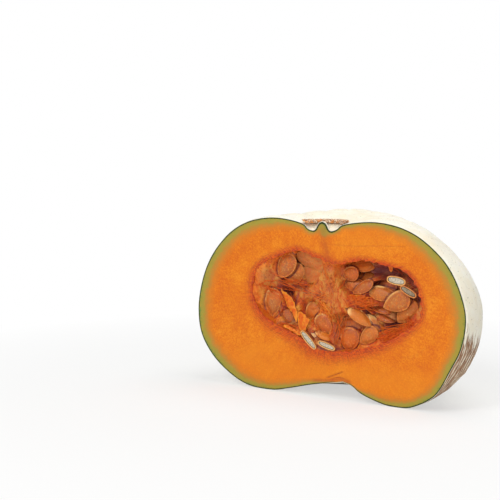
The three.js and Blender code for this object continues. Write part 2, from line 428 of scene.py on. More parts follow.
class Finish:
    """What every finish starts and ends with."""

    def start(self, name: str, *reads: str) -> tuple[object, ...]:
        """Makes an empty material.

        Args:
            name: what the real surface is.
            reads: the number attributes that it reads.

        Returns:
            The material, what adds nodes to it, its object coordinates, and an output for each attribute.
        """
        material = bpy.data.materials.new(name)
        add = clear_nodes(material)
        outputs = [add("Attribute", None, "Fac", attribute_name=read) for read in reads]
        return material, add, add("TexCoord", None, "Object"), *outputs

    def lay(self, add: Adder, base: NodeSocket | str, *layers: tuple[Share, NodeSocket | str]) -> NodeSocket:
        """Lays colours over a base in order, each by its own share.

        Args:
            add: adds nodes to the material.
            base: the colour below, as an output or a hexadecimal colour.
            layers: for each, its share and its colour. The share is an output, or a pattern with its value
                where the layer sets in, its value where the layer is full, and how full it is there.

        Returns:
            The colour on top.
        """
        for share, top in layers:
            if isinstance(share, tuple):
                share = add("MapRange", dict(zip(("Value", "From Min", "From Max", "To Max"), share)))
            pair = (linear(colour) if isinstance(colour, str) else colour for colour in (base, top))
            base = add("Mix", {0: share, **dict(zip((6, 7), pair))}, 2, data_type="RGBA")
        return base

    def weigh(self, add: Adder, total: NodeSocket, *parts: tuple[NodeSocket, float]) -> NodeSocket:
        """Adds patterns to a total, each times its weight.

        Args:
            add: adds nodes to the material.
            total: what they are added to.
            parts: each pattern and its weight.

        Returns:
            The sum.
        """
        for part, weight in parts:
            total = add("Math", {0: part, 1: weight, 2: total}, operation="MULTIPLY_ADD")
        return total

    def close(self, add: Adder, height: NodeSocket, relief_mm: float, **sockets: object) -> None:
        """Raises the relief and wires the shader to the material's output.

        Args:
            add: adds nodes to the material.
            height: the relief's height.
            relief_mm: how tall the relief is.
            sockets: the shader's own values, with low lines for the spaces of their names.
        """
        normal = add("Bump", {"Height": height, "Strength": 0.5, "Distance": relief_mm * MM})
        values = {name.replace("_", " "): value for name, value in sockets.items()}
        shader = add("BsdfPrincipled", {"Normal": normal, **values})
        add("OutputMaterial", {"Surface": shader})


@dataclass(frozen=True)
class WaxyRind(Finish):
    """Ripe crown pumpkin skin: hard, dull with a waxy bloom, cream with fine dark pores, greyed in its
    furrows as painted shade.
    """

    cream: str = "F7F2E2"
    peach: str = "EFE2C2"
    grey: str = "C4BBAA"
    bloom: str = "F7F4E8"
    pore: str = "6E6557"
    scuff: str = "A98A66"
    cork_light: str = "DCCCB4"
    cork: str = "AC8768"
    cork_dark: str = "6C4636"
    groove: str = "F7EBD8"
    patch_mm: float = 42.0
    cloud_mm: float = 9.0
    grain_mm: float = 0.9
    pore_mm: float = 2.6
    pore_patch_mm: float = 7.0
    scuff_mm: float = 4.2
    streak_mm: float = 1.2

    def build(self) -> Material:
        """Makes the material from the skin's object coordinates and its attributes.

        Returns:
            The material.
        """
        material, add, place, furrow, cork, groove = self.start("waxy_rind", "furrow", "cork", "groove")
        skin_map = add("Attribute", None, "Vector", attribute_name="skin_map")
        fine = {"Vector": place, "Detail": 5.0, "Roughness": 0.62}
        patch, cloud, grain = (
            add("TexNoise", {**fine, "Scale": cells(size)})
            for size in (self.patch_mm, self.cloud_mm, self.grain_mm)
        )
        # Painted shade: the furrows grey the skin, added to a cloudy noise of random tone.
        dusk = add("Math", {0: cloud, 1: furrow}, operation="ADD")

        # Growth lines run from the stem down the ribs: long thin streaks in the skin's own map.
        stretched = add("Mapping", {"Vector": skin_map, "Scale": (1.0, 0.08, 1.0)})
        streak = {"Scale": cells(self.streak_mm), "Detail": 3.0, "Roughness": 0.55}
        lines = add("TexNoise", {"Vector": stretched, **streak})

        # Pores are dark dots in some of the cells of a fine pattern, and scuffs are rare tan scratches.
        rough = {"Detail": 4.0, "Roughness": 0.7}
        dots = add("TexVoronoi", {"Vector": place, "Scale": cells(self.pore_mm)})
        dot = add("MapRange", {"Value": dots, "From Min": 0.2, "From Max": 0.08})
        chosen = add("TexNoise", {"Vector": place, "Scale": cells(self.pore_patch_mm), **rough})
        chosen = add("MapRange", {"Value": chosen, "From Min": 0.44, "From Max": 0.58, "To Max": 0.9})
        pores = add("Math", {0: dot, 1: chosen}, operation="MULTIPLY")
        slant = add("Mapping", {"Vector": skin_map, "Rotation": (0, 0, 0.5), "Scale": (1.0, 0.12, 1.0)})
        scuff = add("TexNoise", {"Vector": slant, "Scale": cells(self.scuff_mm), **rough})
        base = self.lay(
            add,
            self.cream,
            ((patch, 0.44, 0.7, 1.0), self.peach),
            ((cloud, 0.5, 0.28, 0.6), self.bloom),
            ((dusk, 0.58, 1.35, 0.75), self.grey),
            ((lines, 0.6, 0.74, 0.35), self.grey),
            (pores, self.pore),
            ((scuff, 0.69, 0.76, 0.7), self.scuff),
            (groove, self.groove),
        )

        # Cork is a tan crust. It starts as single dark cracks along the growth lines and then closes up.
        stops = ((0.42, self.cork_light), (0.49, self.cork), (0.54, self.cork_dark), (0.6, self.cork))
        crust = add("ValToRGB", {"Fac": lines}, stops=stops)
        fray = add("Math", {0: lines, 1: cork}, operation="ADD")
        fray = add("MapRange", {"Value": fray, "From Min": 0.86, "From Max": 0.95})
        base = self.lay(add, base, (fray, crust))

        ridge = add("Math", {0: lines, 1: fray}, operation="MULTIPLY")
        relief = self.weigh(add, grain, (ridge, 4.0), (pores, -1.2), (cloud, 1.5))
        gloss = add("MapRange", {"Value": fray, "To Min": 0.5, "To Max": 0.85})
        self.close(
            add, relief, 0.3, Base_Color=base, Roughness=gloss, IOR=1.45, Specular_IOR_Level=0.35,
            Subsurface_Weight=0.08, Subsurface_Radius=(1.0, 0.6, 0.35), Subsurface_Scale=2.0 * MM,
        )
        return material


@dataclass(frozen=True)
class CutFlesh(Finish):
    """Raw pumpkin flesh cut with a knife: firm, orange and moist, green under the rind, red at the hollow."""

    skin_edge: str = "EDE6D2"
    rind_line: str = "22331A"
    green: str = "748A44"
    olive: str = "A89840"
    ochre: str = "C4883A"
    tan: str = "D6822E"
    orange: str = "E8831F"
    deep_orange: str = "DA6A1F"
    pale_orange: str = "EE9228"
    red_orange: str = "CC4F22"
    brown: str = "B0502A"
    bright_string: str = "EC6A22"
    dark_string: str = "90382A"
    blotch_mm: float = 30.0
    mottle_mm: float = 11.0
    string_mm: float = 1.6
    grain_mm: float = 1.1
    juice_mm: float = 2.2

    def build(self) -> Material:
        """Makes the material from the cut's distances to the rind and to the hollow.

        Returns:
            The material.
        """
        material, add, place, rind, band, hollow, mark, pale, line_kept = self.start(
            "cut_pumpkin_flesh", "rind_mm", "band", "hollow", "mark", "pale", "rind_line"
        )
        blotch, mottle, grain = (
            add("TexNoise", {"Vector": place, "Scale": cells(size), "Detail": detail, "Roughness": 0.62})
            for size, detail in ((self.blotch_mm, 2.0), (self.mottle_mm, 6.0), (self.grain_mm, 3.0))
        )

        # Strings run outwards from the hollow, and finer ones run round it.
        ray = add("Attribute", None, "Vector", attribute_name="ray")
        runs = (add("Mapping", {"Vector": ray, "Scale": scale}) for scale in ((1, 1, 0), (0.22, 0, 1)))
        string, hoop = (
            add("TexNoise", {"Vector": run, "Scale": cells(self.string_mm), "Detail": 4.0}) for run in runs
        )
        tone = self.weigh(add, mottle, (grain, 1.9), (blotch, 1.0), (string, 0.7))
        tone = add("MapRange", {"Value": tone, "From Min": 1.9, "From Max": 2.7})
        stops = ((0.0, self.deep_orange), (0.75, self.orange), (1.0, self.pale_orange))
        flesh = self.lay(add, add("ValToRGB", {"Fac": tone}, stops=stops), (pale, self.pale_orange))

        # Under the rind the colour runs from green over olive and ochre into the flesh.
        sway = self.weigh(add, band, (mottle, 0.6), (grain, 0.3))
        sway = add("Math", {0: sway, 1: 0.45}, operation="SUBTRACT")
        greens = ((0.0, self.green), (0.17, self.olive), (0.33, self.olive))
        tint = add("ValToRGB", {"Fac": sway}, stops=(*greens, (0.52, self.ochre), (0.76, self.tan)))

        # Towards the hollow the flesh turns red and stringy, with single bright and dark strings round it.
        near = add("MapRange", {"Value": hollow, "From Min": 1.0, "From Max": 0.0, "To Max": 0.62})
        vein = add("Math", {0: hoop, 1: 0.5}, operation="SUBTRACT")
        vein = add("Math", {0: vein}, operation="ABSOLUTE")
        vein = add("MapRange", {"Value": vein, "From Min": 0.05, "From Max": 0.01, "To Max": 1.2})
        bright = add("MapRange", {"Value": hoop, "From Min": 0.54, "From Max": 0.62, "To Max": 0.7})
        torn = add("Math", {0: self.weigh(add, grain, (string, 4.5)), 1: 1.25}, operation="SUBTRACT")
        vein, bright, torn = (
            add("Math", {0: strings, 1: near}, operation="MULTIPLY") for strings in (vein, bright, torn)
        )
        torn = add("MapRange", {"Value": torn, "From Min": 0.18, "From Max": 0.9})

        # Juice cells are tiny pale specks of painted glint, and the hard rind is a thin dark green line.
        specks = add("TexVoronoi", {"Vector": place, "Scale": cells(self.juice_mm)})
        waver = self.weigh(add, rind, (grain, 0.5))
        dark = add("MapRange", {"Value": waver, "From Min": 1.6, "From Max": 1.1})
        dark = add("Math", {0: dark, 1: line_kept}, operation="MULTIPLY")
        colour = self.lay(
            add,
            tint,
            ((sway, 0.62, 1.1, 1.0), flesh),
            (torn, self.red_orange),
            (bright, self.bright_string),
            (vein, self.dark_string),
            (mark, self.brown),
            ((specks, 0.2, 0.05, 0.4), self.pale_orange),
            (dark, self.rind_line),
            # The outermost strip of the cut is the cream skin, made pale also as a painted highlight along
            # the cut's edge.
            ((rind, 0.3, 0.12, 1.0), self.skin_edge),
        )
        relief = self.weigh(add, grain, (mottle, 1.5))
        relief = add("Math", {0: string, 1: torn, 2: relief}, operation="MULTIPLY_ADD")
        self.close(
            add, relief, 0.45, Base_Color=colour, Roughness=0.5, IOR=1.36, Specular_IOR_Level=0.2,
            Subsurface_Weight=0.15, Subsurface_Radius=(1.0, 0.35, 0.1), Subsurface_Scale=2.5 * MM,
        )
        return material


@dataclass(frozen=True)
class WetPulp(Finish):
    """The stringy pulp round the seeds: wet fibres and films, orange where proud, with painted shade that
    turns it red-brown where it lies deep and in its grooves.
    """

    name: str = "wet_pulp"
    # The ramp from gap to light follows the pulp's relief: gap is partly painted shade in its grooves and
    # also its random flecks, light partly painted light on its ridges, and deep is painted shade.
    gap: str = "963C20"
    rust: str = "C8501E"
    orange: str = "D8661F"
    tan: str = "D8842F"
    light: str = "E89E42"
    crescent: str = "C47C42"
    flesh: str = "E87A26"
    deep: str = "7A3E3E"
    red: str = "CC4A1A"
    fibre_mm: float = 1.1
    cloud_mm: float = 6.0
    fleck_mm: float = 2.2

    def build(self) -> Material:
        """Makes the material from the pulp's relief, its spots and the run of its fibres.

        Returns:
            The material.
        """
        material, add, place, relief, depth, dark, rusty, tanned, fleshy = self.start(
            self.name, "relief", "depth_mm", "dark", "rusty", "tanned", "fleshy"
        )
        along = add("Attribute", None, "Vector", attribute_name="fibre")
        run = add("Mapping", {"Vector": along, "Scale": (1.0, 0.45, 1.0)})
        fibre, cloud, fleck = (
            add("TexNoise", {"Scale": cells(size), "Roughness": 0.65, **more})
            for size, more in (
                (self.fibre_mm, {"Vector": run, "Detail": 4.0, "Distortion": 0.5}),
                (self.cloud_mm, {"Vector": place, "Detail": 5.0}),
                (self.fleck_mm, {"Vector": place, "Detail": 3.0, "Roughness": 0.7}),
            )
        )
        # The tone is the fibres' relief with noise: random tone, with painted shade in the grooves and
        # painted light on the ridges.
        tone = self.weigh(add, relief, (fibre, 1.5), (cloud, 1.0))
        tone = add("MapRange", {"Value": tone, "From Min": 1.2, "From Max": 2.15})
        stops = zip((0.05, 0.3, 0.52, 0.75, 0.97), (self.gap, self.rust, self.orange, self.tan, self.light))
        colour = add("ValToRGB", {"Fac": tone}, stops=tuple(stops))
        ragged = add("MapRange", {"Value": fibre, "From Min": 0.35, "From Max": 0.6, "To Min": 0.4})
        shares = [add("Math", {0: spot, 1: ragged}, operation="MULTIPLY") for spot in (rusty, tanned, fleshy)]

        # What lies deep, the painted shade spots and the gaps beside the seeds get painted shade in the deep
        # colour, with fibres showing through.
        gloom = add("MapRange", {"Value": depth, "From Min": 7.0, "From Max": 18.0, "To Max": 0.85})
        gloom = add("Math", {0: gloom, 1: dark}, operation="MAXIMUM")
        rough_dark = add("Math", {0: fibre, 1: 0.9, 2: 0.55}, operation="MULTIPLY_ADD")
        gloom = add("Math", {0: gloom, 1: rough_dark}, operation="MULTIPLY", use_clamp=True)
        tops = zip(shares, (self.red, self.crescent, self.flesh))
        colour = self.lay(add, colour, *tops, ((fleck, 0.57, 0.64, 0.65), self.gap), (gloom, self.deep))
        self.close(
            add, fibre, 0.7, Base_Color=colour, Roughness=0.4, IOR=1.36, Specular_IOR_Level=0.25,
            Coat_Weight=0.06, Coat_Roughness=0.25,
            Subsurface_Weight=0.15, Subsurface_Radius=(1.0, 0.3, 0.1), Subsurface_Scale=1.5 * MM,
        )
        return material


@dataclass(frozen=True)
class SeedCoat(Finish):
    """A seed's leathery coat under a film of juice: tan and puckered, with a paler raised margin."""

    name: str
    middle: str
    face: str
    line: str
    margin: str
    warm: str = "DC7C2C"
    film: str = "DA6A22"
    # shade and gap are the colours of the painted shade, and lit of the painted glints and highlights.
    shade: str = "A04E42"
    gap: str = "682C2E"
    lit: str = "FFCC80"
    roughness: float = 0.36
    cloud_mm: float = 5.0
    blotch_mm: float = 2.6
    pucker_mm: float = 1.4

    def build(self) -> Material:
        """Makes the material from the distance to the seed's edge and how warm and how deep the seed is, with
        painted shade and painted highlights.

        Returns:
            The material.
        """
        material, add, place, edge, warmth, depth, contact, filmed, upper = self.start(
            self.name, "edge", "warmth", "depth_mm", "contact", "filmed", "upper"
        )
        fine = {"Vector": place, "Detail": 5.0, "Roughness": 0.65}
        cloud, blotch, pucker = (
            add("TexNoise", {**fine, "Scale": cells(size)})
            for size in (self.cloud_mm, self.blotch_mm, self.pucker_mm)
        )
        sway = add("Math", {0: self.weigh(add, edge, (cloud, 0.5)), 1: 0.25}, operation="SUBTRACT")
        margins = ((0.83, self.line), (0.93, self.margin), (1.0, self.margin))
        colour = add("ValToRGB", {"Fac": sway}, stops=((0.15, self.middle), (0.62, self.face), *margins))

        # Warm, filmed and gleaming places are a pattern times what the seed's attribute says, strengthened;
        # the gleam is a painted highlight.
        shares = (
            (add("Math", {0: pattern, 1: much}, operation="MULTIPLY"), strength)
            for pattern, much, strength in ((cloud, warmth, 1.6), (blotch, filmed, 1.8), (pucker, upper, 1.7))
        )
        warm, film, gleam = (
            add("Math", dict(enumerate(pair)), operation="MULTIPLY", use_clamp=True) for pair in shares
        )
        colour = self.lay(
            add,
            colour,
            ((blotch, 0.46, 0.6, 0.6), self.face),
            ((cloud, 0.47, 0.6, 0.7), self.film),
            # The pits of the puckers get painted shade.
            ((pucker, 0.52, 0.4, 0.6), self.shade),
            (warm, self.warm),
            # Deeper seeds get painted shade.
            ((depth, 14.0, 26.0, 0.45), self.shade),
            (film, self.film),
            # Painted glints on the puckers' crests, then the painted highlight on the upper-left margin.
            ((pucker, 0.58, 0.68, 0.4), self.lit),
            (gleam, self.lit),
            # Painted shade: a dark outline at the seed's edge, and where it lies under the edge of a seed in
            # front.
            ((edge, 0.965, 1.0, 0.55), self.gap),
            (contact, self.gap),
        )
        self.close(
            add, pucker, 0.7, Base_Color=colour, Roughness=self.roughness, IOR=1.45, Specular_IOR_Level=0.22,
            Coat_Weight=0.05, Coat_Roughness=0.15,
            Subsurface_Weight=0.1, Subsurface_Radius=(1.0, 0.5, 0.2), Subsurface_Scale=1.2 * MM,
        )
        return material


@dataclass(frozen=True)
class SeedKernel(Finish):
    """The cut kernel of a seed: waxy and white, with a grey-green line where the coat has come away."""

    name: str
    white: str
    shade: str = "A89A84"
    gap: str = "3E3B26"
    grain_mm: float = 1.3

    def build(self) -> Material:
        """Makes the material from the distance to the kernel's edge.

        Returns:
            The material.
        """
        material, add, place, edge = self.start(self.name, "edge")
        fine = {"Vector": place, "Detail": 3.0, "Roughness": 0.65}
        cloud = add("TexNoise", {**fine, "Scale": cells(self.grain_mm)})
        layers = ((cloud, 0.38, 0.66, 1.0), self.shade), ((edge, 0.62, 0.72, 1.0), self.gap)
        colour = self.lay(add, self.white, *layers)
        self.close(add, cloud, 0.25, Base_Color=colour, Roughness=0.5, IOR=1.45, Specular_IOR_Level=0.3)
        return material


@dataclass(frozen=True)
class StemCork(Finish):
    """Dry cork left where the stem stood: matt, tan and cracked, with painted shade in the cracks."""

    pale: str = "F0DCC0"
    tan: str = "CC9C74"
    rust: str = "E8903C"
    crack: str = "8A5C40"
    crumb_mm: float = 1.3
    patch_mm: float = 3.6

    def build(self) -> Material:
        """Makes the material from the object coordinates and the depth of the cracks.

        Returns:
            The material.
        """
        material, add, place, crack = self.start("stem_cork", "crack")
        rough = {"Vector": place, "Detail": 4.0, "Roughness": 0.7}
        crumb = add("TexNoise", {**rough, "Scale": cells(self.crumb_mm)})
        patch = add("TexNoise", {"Vector": place, "Scale": cells(self.patch_mm), "Detail": 2.0})
        stops = ((0.43, self.crack), (0.5, self.tan), (0.58, self.pale))
        colour = add("ValToRGB", {"Fac": crumb}, stops=stops)
        # Painted shade darkens the cracks, where the ring is drawn in; the crumbs' own dark cork stays below
        # it.
        split = add("Math", {0: crack, 1: 0.6}, operation="MULTIPLY")
        colour = self.lay(add, colour, ((patch, 0.56, 0.62, 0.9), self.rust), (split, self.crack))
        self.close(add, crumb, 0.9, Base_Color=colour, Roughness=0.85, IOR=1.45)
        return material


# -------- the half


class Column(Enum):
    """The three lines that carry the fruit's outline."""

    LEFT = 0
    RIGHT = 1
    BACK = 2


@dataclass(frozen=True)
class FruitShape:
    """The fruit's outside. Each ring has its place on the left of the cut, on its right and at the back,
    as (distance from the axis, height), and how far the ribs swell out of it.
    """

    rings: tuple[tuple[tuple[float, float] | float, ...], ...] = (
        ((0, 146.8), (0, 146.8), (0, 146.8), 0),  # stem core, top
        ((-3.5, 145.2), (3.4, 145), (3.6, 145.6), 0),
        ((-7.4, 139.4), (7.2, 139.3), (7.6, 139.5), 0),  # groove round the core
        ((-13, 140.1), (12.9, 140.4), (13, 140.4), 0),
        ((-17.2, 143.8), (17.4, 143.8), (17.6, 144), 0.2),  # rim under the stem scar
        ((-37, 148.2), (33, 146.8), (36, 152), 1),
        ((-54, 148.4), (50, 147.4), (54, 154), 1.6),  # crown
        ((-72, 144.8), (68, 144.4), (72, 151), 2),
        ((-88, 137), (84, 137.8), (88, 143), 1.8),  # shoulder
        ((-101.5, 125.2), (99, 126.8), (103, 130), 2),
        ((-113, 110), (110, 115), (114, 112), 3),
        ((-121.5, 90), (119.6, 97), (122, 92), 4),
        ((-125.6, 66), (124.8, 76), (126, 71), 4.4),  # equator
        ((-122.5, 43.5), (121.6, 53), (122, 48), 5.4),
        ((-111, 25.5), (112.6, 33.8), (111, 29), 5.6),
        ((-94, 11.5), (101, 14), (95, 12), 0.8),
        ((-76, 2.6), (86, 3.8), (79, 3), 0.2),  # heel
        ((-54, -1.2), (69, -1.6), (59, -1.6), 0),  # foot, worn flat on the floor
        ((-32, 3.5), (50, 2.5), (42, 5.8), 0),
        ((-12, 8.8), (35, 8), (24, 10.4), 0),  # blossom dimple
        ((4, 12.2), (28, 12.8), (12, 13), 0),
        ((20, 15.2), (20, 15.2), (0, 15.2), 0),  # blossom end
    )
    furrows: tuple[float, ...] = (0, 24, 45, 69, 92, 114, 137, 159, 180)
    rib_shares: tuple[float, ...] = (1.25, 0.85, 1, 0.85, 0.95, 0.8, 1, 0.8)
    roundness: float = 0.72
    core_radius: float = 58.0
    core_height: float = 76.0
    back_sharpness: float = 2.8
    foot_softness: float = 1.6

    def meridian(self, column: Column, rows: Array) -> Array:
        """One of the three outline lines, at the given rows."""
        return spline([ring[column.value] for ring in self.rings], rows)

    def swells(self, rows: Array) -> Array:
        """How far the ribs swell out at the given rows."""
        return np.interp(rows, np.arange(len(self.rings)), [ring[-1] for ring in self.rings])

    def rib_share(self, azimuth: Array) -> Array:
        """A rib's part of the swell: the sine of the way across it, to a power below 1, times its share.

        Args:
            azimuth: radians from the right end of the cut round the back.

        Returns:
            The shares.
        """
        degrees = np.degrees(azimuth)
        rib = np.clip(np.searchsorted(self.furrows, degrees, side="right") - 1, 0, len(self.rib_shares) - 1)
        edges = np.array(self.furrows)
        across = (degrees - edges[rib]) / (edges[rib + 1] - edges[rib])
        return np.array(self.rib_shares)[rib] * np.maximum(np.sin(np.pi * across), 0) ** self.roundness

    def points(self, azimuth: Array, rows: Array) -> Array:
        """The skin at each azimuth and row.

        The cut's outline is a half ellipse in plan between left, back and right. Its height leaves the
        cut's for the back's with a high power of the sine, and the ribs swell away from a ring inside.
        The foot is flattened softly: half the sum of the height and the root of its square plus a little.

        Args:
            azimuth: radians from the right end of the cut round the back, one for each grid row.
            rows: the place between the rings, one for each grid column.

        Returns:
            Azimuths x rows x 3.
        """
        left, right, back = (self.meridian(column, rows)[None] for column in Column)
        side = np.cos(azimuth)[:, None]
        turn = np.sin(azimuth)[:, None]
        middle = (left[..., 0] + right[..., 0]) / 2
        side_z = np.where(side > 0, right[..., 1], left[..., 1])
        x = middle + (right[..., 0] - left[..., 0]) / 2 * side
        y = back[..., 0] * turn
        z = side_z + (back[..., 1] - side_z) * np.abs(turn) ** self.back_sharpness
        reach = np.hypot(x - middle, y)
        out = np.stack([reach - self.core_radius, z - self.core_height], -1)
        out /= np.linalg.norm(out, axis=-1, keepdims=True)
        swell = self.rib_share(azimuth)[:, None] * self.swells(rows)[None]
        stretch = np.where(reach > 1e-6, (reach + swell * out[..., 0]) / np.maximum(reach, 1e-6), 1)
        z = z + swell * out[..., 1]
        z = (z + np.sqrt(z * z + self.foot_softness**2)) / 2
        return np.stack([middle + (x - middle) * stretch, y * stretch, z - z.min()], -1)


@dataclass(frozen=True)
class Hollow:
    """The seed cavity: its outline on the cut and its depth."""

    centre: tuple[float, float] = (9.0, 80.0)
    depth: float = 60.0
    outline: tuple[tuple[float, float], ...] = (
        (-68, 86), (-62, 105), (-44, 115), (-24, 121), (-4, 115.5), (14, 111.5),
        (34, 115.5), (58, 113), (76, 107), (86, 91), (86, 73), (70, 59),
        (46, 46.5), (20, 40), (-6, 40.5), (-24, 50), (-46, 58), (-62, 69),
    )
    line_steps: int = 720
    ragged: float = 1.1
    ragged_size: float = 2.2

    def line(self) -> Array:
        """The outline as a closed line of many short stretches."""
        return loop(self.outline, self.line_steps)

    def reach(self, angle: Array) -> Array:
        """The outline's distance from the centre, with a ragged edge.

        Args:
            angle: radians round the centre.

        Returns:
            The distances.
        """
        away = self.line() - self.centre
        angles = np.unwrap(np.arctan2(away[:, 1], away[:, 0]))[::-1]
        reaches = np.hypot(away[:, 0], away[:, 1])[::-1]
        start = angles[0]
        turned = (np.asarray(angle) - start) % (2 * np.pi) + start
        smooth = np.interp(turned, angles, reaches)
        edge = np.stack([np.cos(angle) * smooth, np.sin(angle) * smooth], -1)
        return smooth + self.ragged * noise(edge, self.ragged_size, 5)


@dataclass(frozen=True)
class CutMark:
    """A score, crack or fold in the cut face: where it runs, how wide and deep it is and how brown."""

    line: tuple[tuple[float, float], ...]
    width: float
    depth: float
    brown: float


@dataclass(frozen=True)
class PumpkinHalf:
    """The half fruit: its skin, the cut through its flesh and the wall of its cavity, as one closed mesh.

    band_widths gives the green band's width under the rind, and red_widths the red fringe's round the
    cavity, each at some degrees round the cavity's centre.
    """

    shape: FruitShape = FruitShape()
    hollow: Hollow = Hollow()
    azimuths: int = 220
    stem_step: float = 0.7
    skin_step: float = 1.75
    stem_rows: float = 5.0
    cut_rows: int = 58
    wall_rows: int = 12
    band_widths: tuple[tuple[float, float], ...] = (
        (0, 14), (20, 14), (38, 11.5), (58, 7), (76, 6), (89, 5), (94.5, 5.5), (96.5, 8.5), (99, 8.5),
        (101.5, 5.5), (105, 4.5), (114, 6), (130, 10.5), (155, 14), (180, 15.5), (205, 14.5), (225, 10.5),
        (245, 7.5), (262, 4), (275, 1.2), (288, 1.8), (297, 6.5), (310, 9.5), (328, 10), (345, 11.5),
    )
    red_widths: tuple[tuple[float, float], ...] = (
        (0, 7), (40, 5), (75, 6), (120, 7), (180, 9), (215, 15), (240, 16), (262, 16), (290, 13), (325, 11),
    )
    stem_top: float = 125.0
    groove_radius: float = 10.5
    groove_width: float = 3.6
    map_radius: float = 126.0
    furrow_width: float = 3.4
    furrow_grey: float = 0.55
    marks: tuple[CutMark, ...] = (
        # Faint scores of the knife over the cavity and below its right end, with one short nick.
        CutMark(((7, 127.5), (30, 127.2), (52, 128.2), (74, 128.6)), 0.5, 0.25, 0.25),
        CutMark(((71, 104.2), (76, 103.9), (82, 104.3)), 0.5, 0.8, 0.6),
        CutMark(((70, 41), (78, 41.6), (86, 45), (92, 50.5)), 0.5, 0.2, 0.18),
        CutMark(((60, 36), (70, 37), (80, 40), (90, 46)), 0.5, 0.15, 0.12),
        # Two cracks over the blossom end, and the brown folds along it.
        CutMark(((5.3, 16.9), (9, 18.5), (12.5, 20), (16, 21.6), (19.4, 23.3)), 0.5, 1.0, 0.95),
        CutMark(((9.4, 15.8), (12, 17.3), (15, 18.2), (18, 18.4), (21, 17.6)), 0.5, 0.8, 0.85),
        CutMark(((-7, 13.2), (0, 14), (7, 15)), 1.5, 0.2, 0.48),
        CutMark(((10, 15), (15, 16.4), (20, 16.6), (25.5, 15.6)), 1.9, 0.3, 0.58),
        # The stem's cords run down from the core to the cavity.
        CutMark(((0.5, 138), (1.5, 130), (3.5, 122), (6, 113)), 4.5, 0.0, 0.34),
        CutMark(((2.4, 127.5), (3.6, 124), (4.6, 121)), 2.8, 0.15, 0.5),
    )

    def rows(self) -> Array:
        """Rows that lie closer round the stem than over the rest of the skin.

        Returns:
            Places between the rings, from the stem to the blossom end.
        """
        fine = np.linspace(0, len(self.shape.rings) - 1, 2001)
        line = self.shape.meridian(Column.RIGHT, fine)
        steps = np.linalg.norm(np.diff(line, axis=0), axis=1)
        wanted = np.where(fine[1:] < self.stem_rows, self.stem_step, self.skin_step)
        passed = np.concatenate([[0], np.cumsum(steps / wanted)])
        return np.interp(np.linspace(0, passed[-1], int(passed[-1])), passed, fine)

    def skin(self) -> Sheet:
        """The outside, with small dents and swellings away from the cut.

        Returns:
            Azimuths x rows.
        """
        azimuth = np.linspace(0, np.pi, self.azimuths)
        rows = self.rows()
        points = self.shape.points(azimuth, rows)
        off_cut = ease(0, 0.12, np.sin(azimuth))[:, None]
        worn = ease(0.2, 6, points[..., 2])
        core = np.array([self.hollow.centre[0], 0, self.shape.core_height])
        out = points - core
        out /= np.linalg.norm(out, axis=-1, keepdims=True)
        dents = layered(points, (0.5, 17, 11), (0.22, 6, 12), (0.08, 2.6, 13))
        points = points + out * (dents * off_cut * worn)[..., None]

        degrees = np.degrees(azimuth)[:, None]
        edges = np.array(self.shape.furrows)[1:-1]
        to_furrow = np.abs(degrees[..., None] - edges).min(-1)
        # How much painted shade greys the skin in its furrows, only where the ribs swell.
        furrow = self.furrow_grey * bump(to_furrow, 0, self.furrow_width)
        furrow = furrow * ease(0.3, 3, self.shape.swells(rows))[None]
        down = np.concatenate([[0], np.cumsum(np.linalg.norm(np.diff(points[0], axis=0), axis=1))])
        skin_map = np.zeros((*points.shape[:2], 3))
        skin_map[..., 0] = azimuth[:, None] * self.map_radius * MM
        skin_map[..., 1] = down[None] * MM
        reach = np.hypot(points[..., 0], points[..., 1])
        groove = 0.85 * bump(reach, self.groove_radius, self.groove_width) * (points[..., 2] > self.stem_top)
        cork = self.cork(degrees, points)
        return Sheet(points, {"skin_map": skin_map, "furrow": furrow, "cork": cork, "groove": groove})

    @staticmethod
    def cork(degrees: Array, points: Array) -> Array:
        """Where the skin has healed into cork, with edges frayed by noise.

        It is a flank low on the first rib, a collar on the rim of the stem's groove, and the foot.

        Args:
            degrees: the azimuth of each grid row.
            points: the skin.

        Returns:
            How much cork there is, from 0 to about 0.6.
        """
        x, y, z = np.moveaxis(points, -1, 0)
        flank = ease(97, 34, z + 10 * noise(points, 12, 21)) * ease(29, 9, degrees + 5 * noise(points, 9, 22))
        collar = bump(np.hypot(x, y), 17.5, 3.4) * (z > 130)
        foot = ease(44, 20, np.hypot(x - 18, y) + 6 * noise(points, 7, 23)) * ease(2, 12, y) * (z < 30)
        return np.maximum(np.maximum(0.57 * flank, 0.35 * collar), 0.45 * foot)

    def cut(self, skin: Sheet) -> Sheet:
        """The knife's face: rays from the cavity's edge to the skin's two ends, all round.

        The points of a ray crowd towards both its ends with a cosine, and most of all at the rind.

        Args:
            skin: the outside, whose first and last rows are the cut's outline.

        Returns:
            Cavity to skin x round the outline.
        """
        outline = self.outline(skin)
        centre = np.array(self.hollow.centre)
        angle, outer = polar(*outline.T, centre)
        inner = self.hollow.reach(angle)
        share = np.linspace(0, 1, self.cut_rows)
        share = 0.5 * (1 - np.cos(np.pi * share)) * 0.55 + share * 0.45
        share = 1 - (1 - share) ** 1.25
        reach = inner[None] + (outer - inner)[None] * share[:, None]
        plane = centre + np.stack([np.cos(angle), np.sin(angle)], -1)[None] * reach[..., None]
        plane[-1] = outline
        rind = distance_to_line(plane, outline)
        hollow = distance_to_line(plane, self.hollow.line())
        hollow[0] = 0
        turn, _ = polar(plane[..., 0], plane[..., 1], centre)
        degrees = np.degrees(turn) % 360

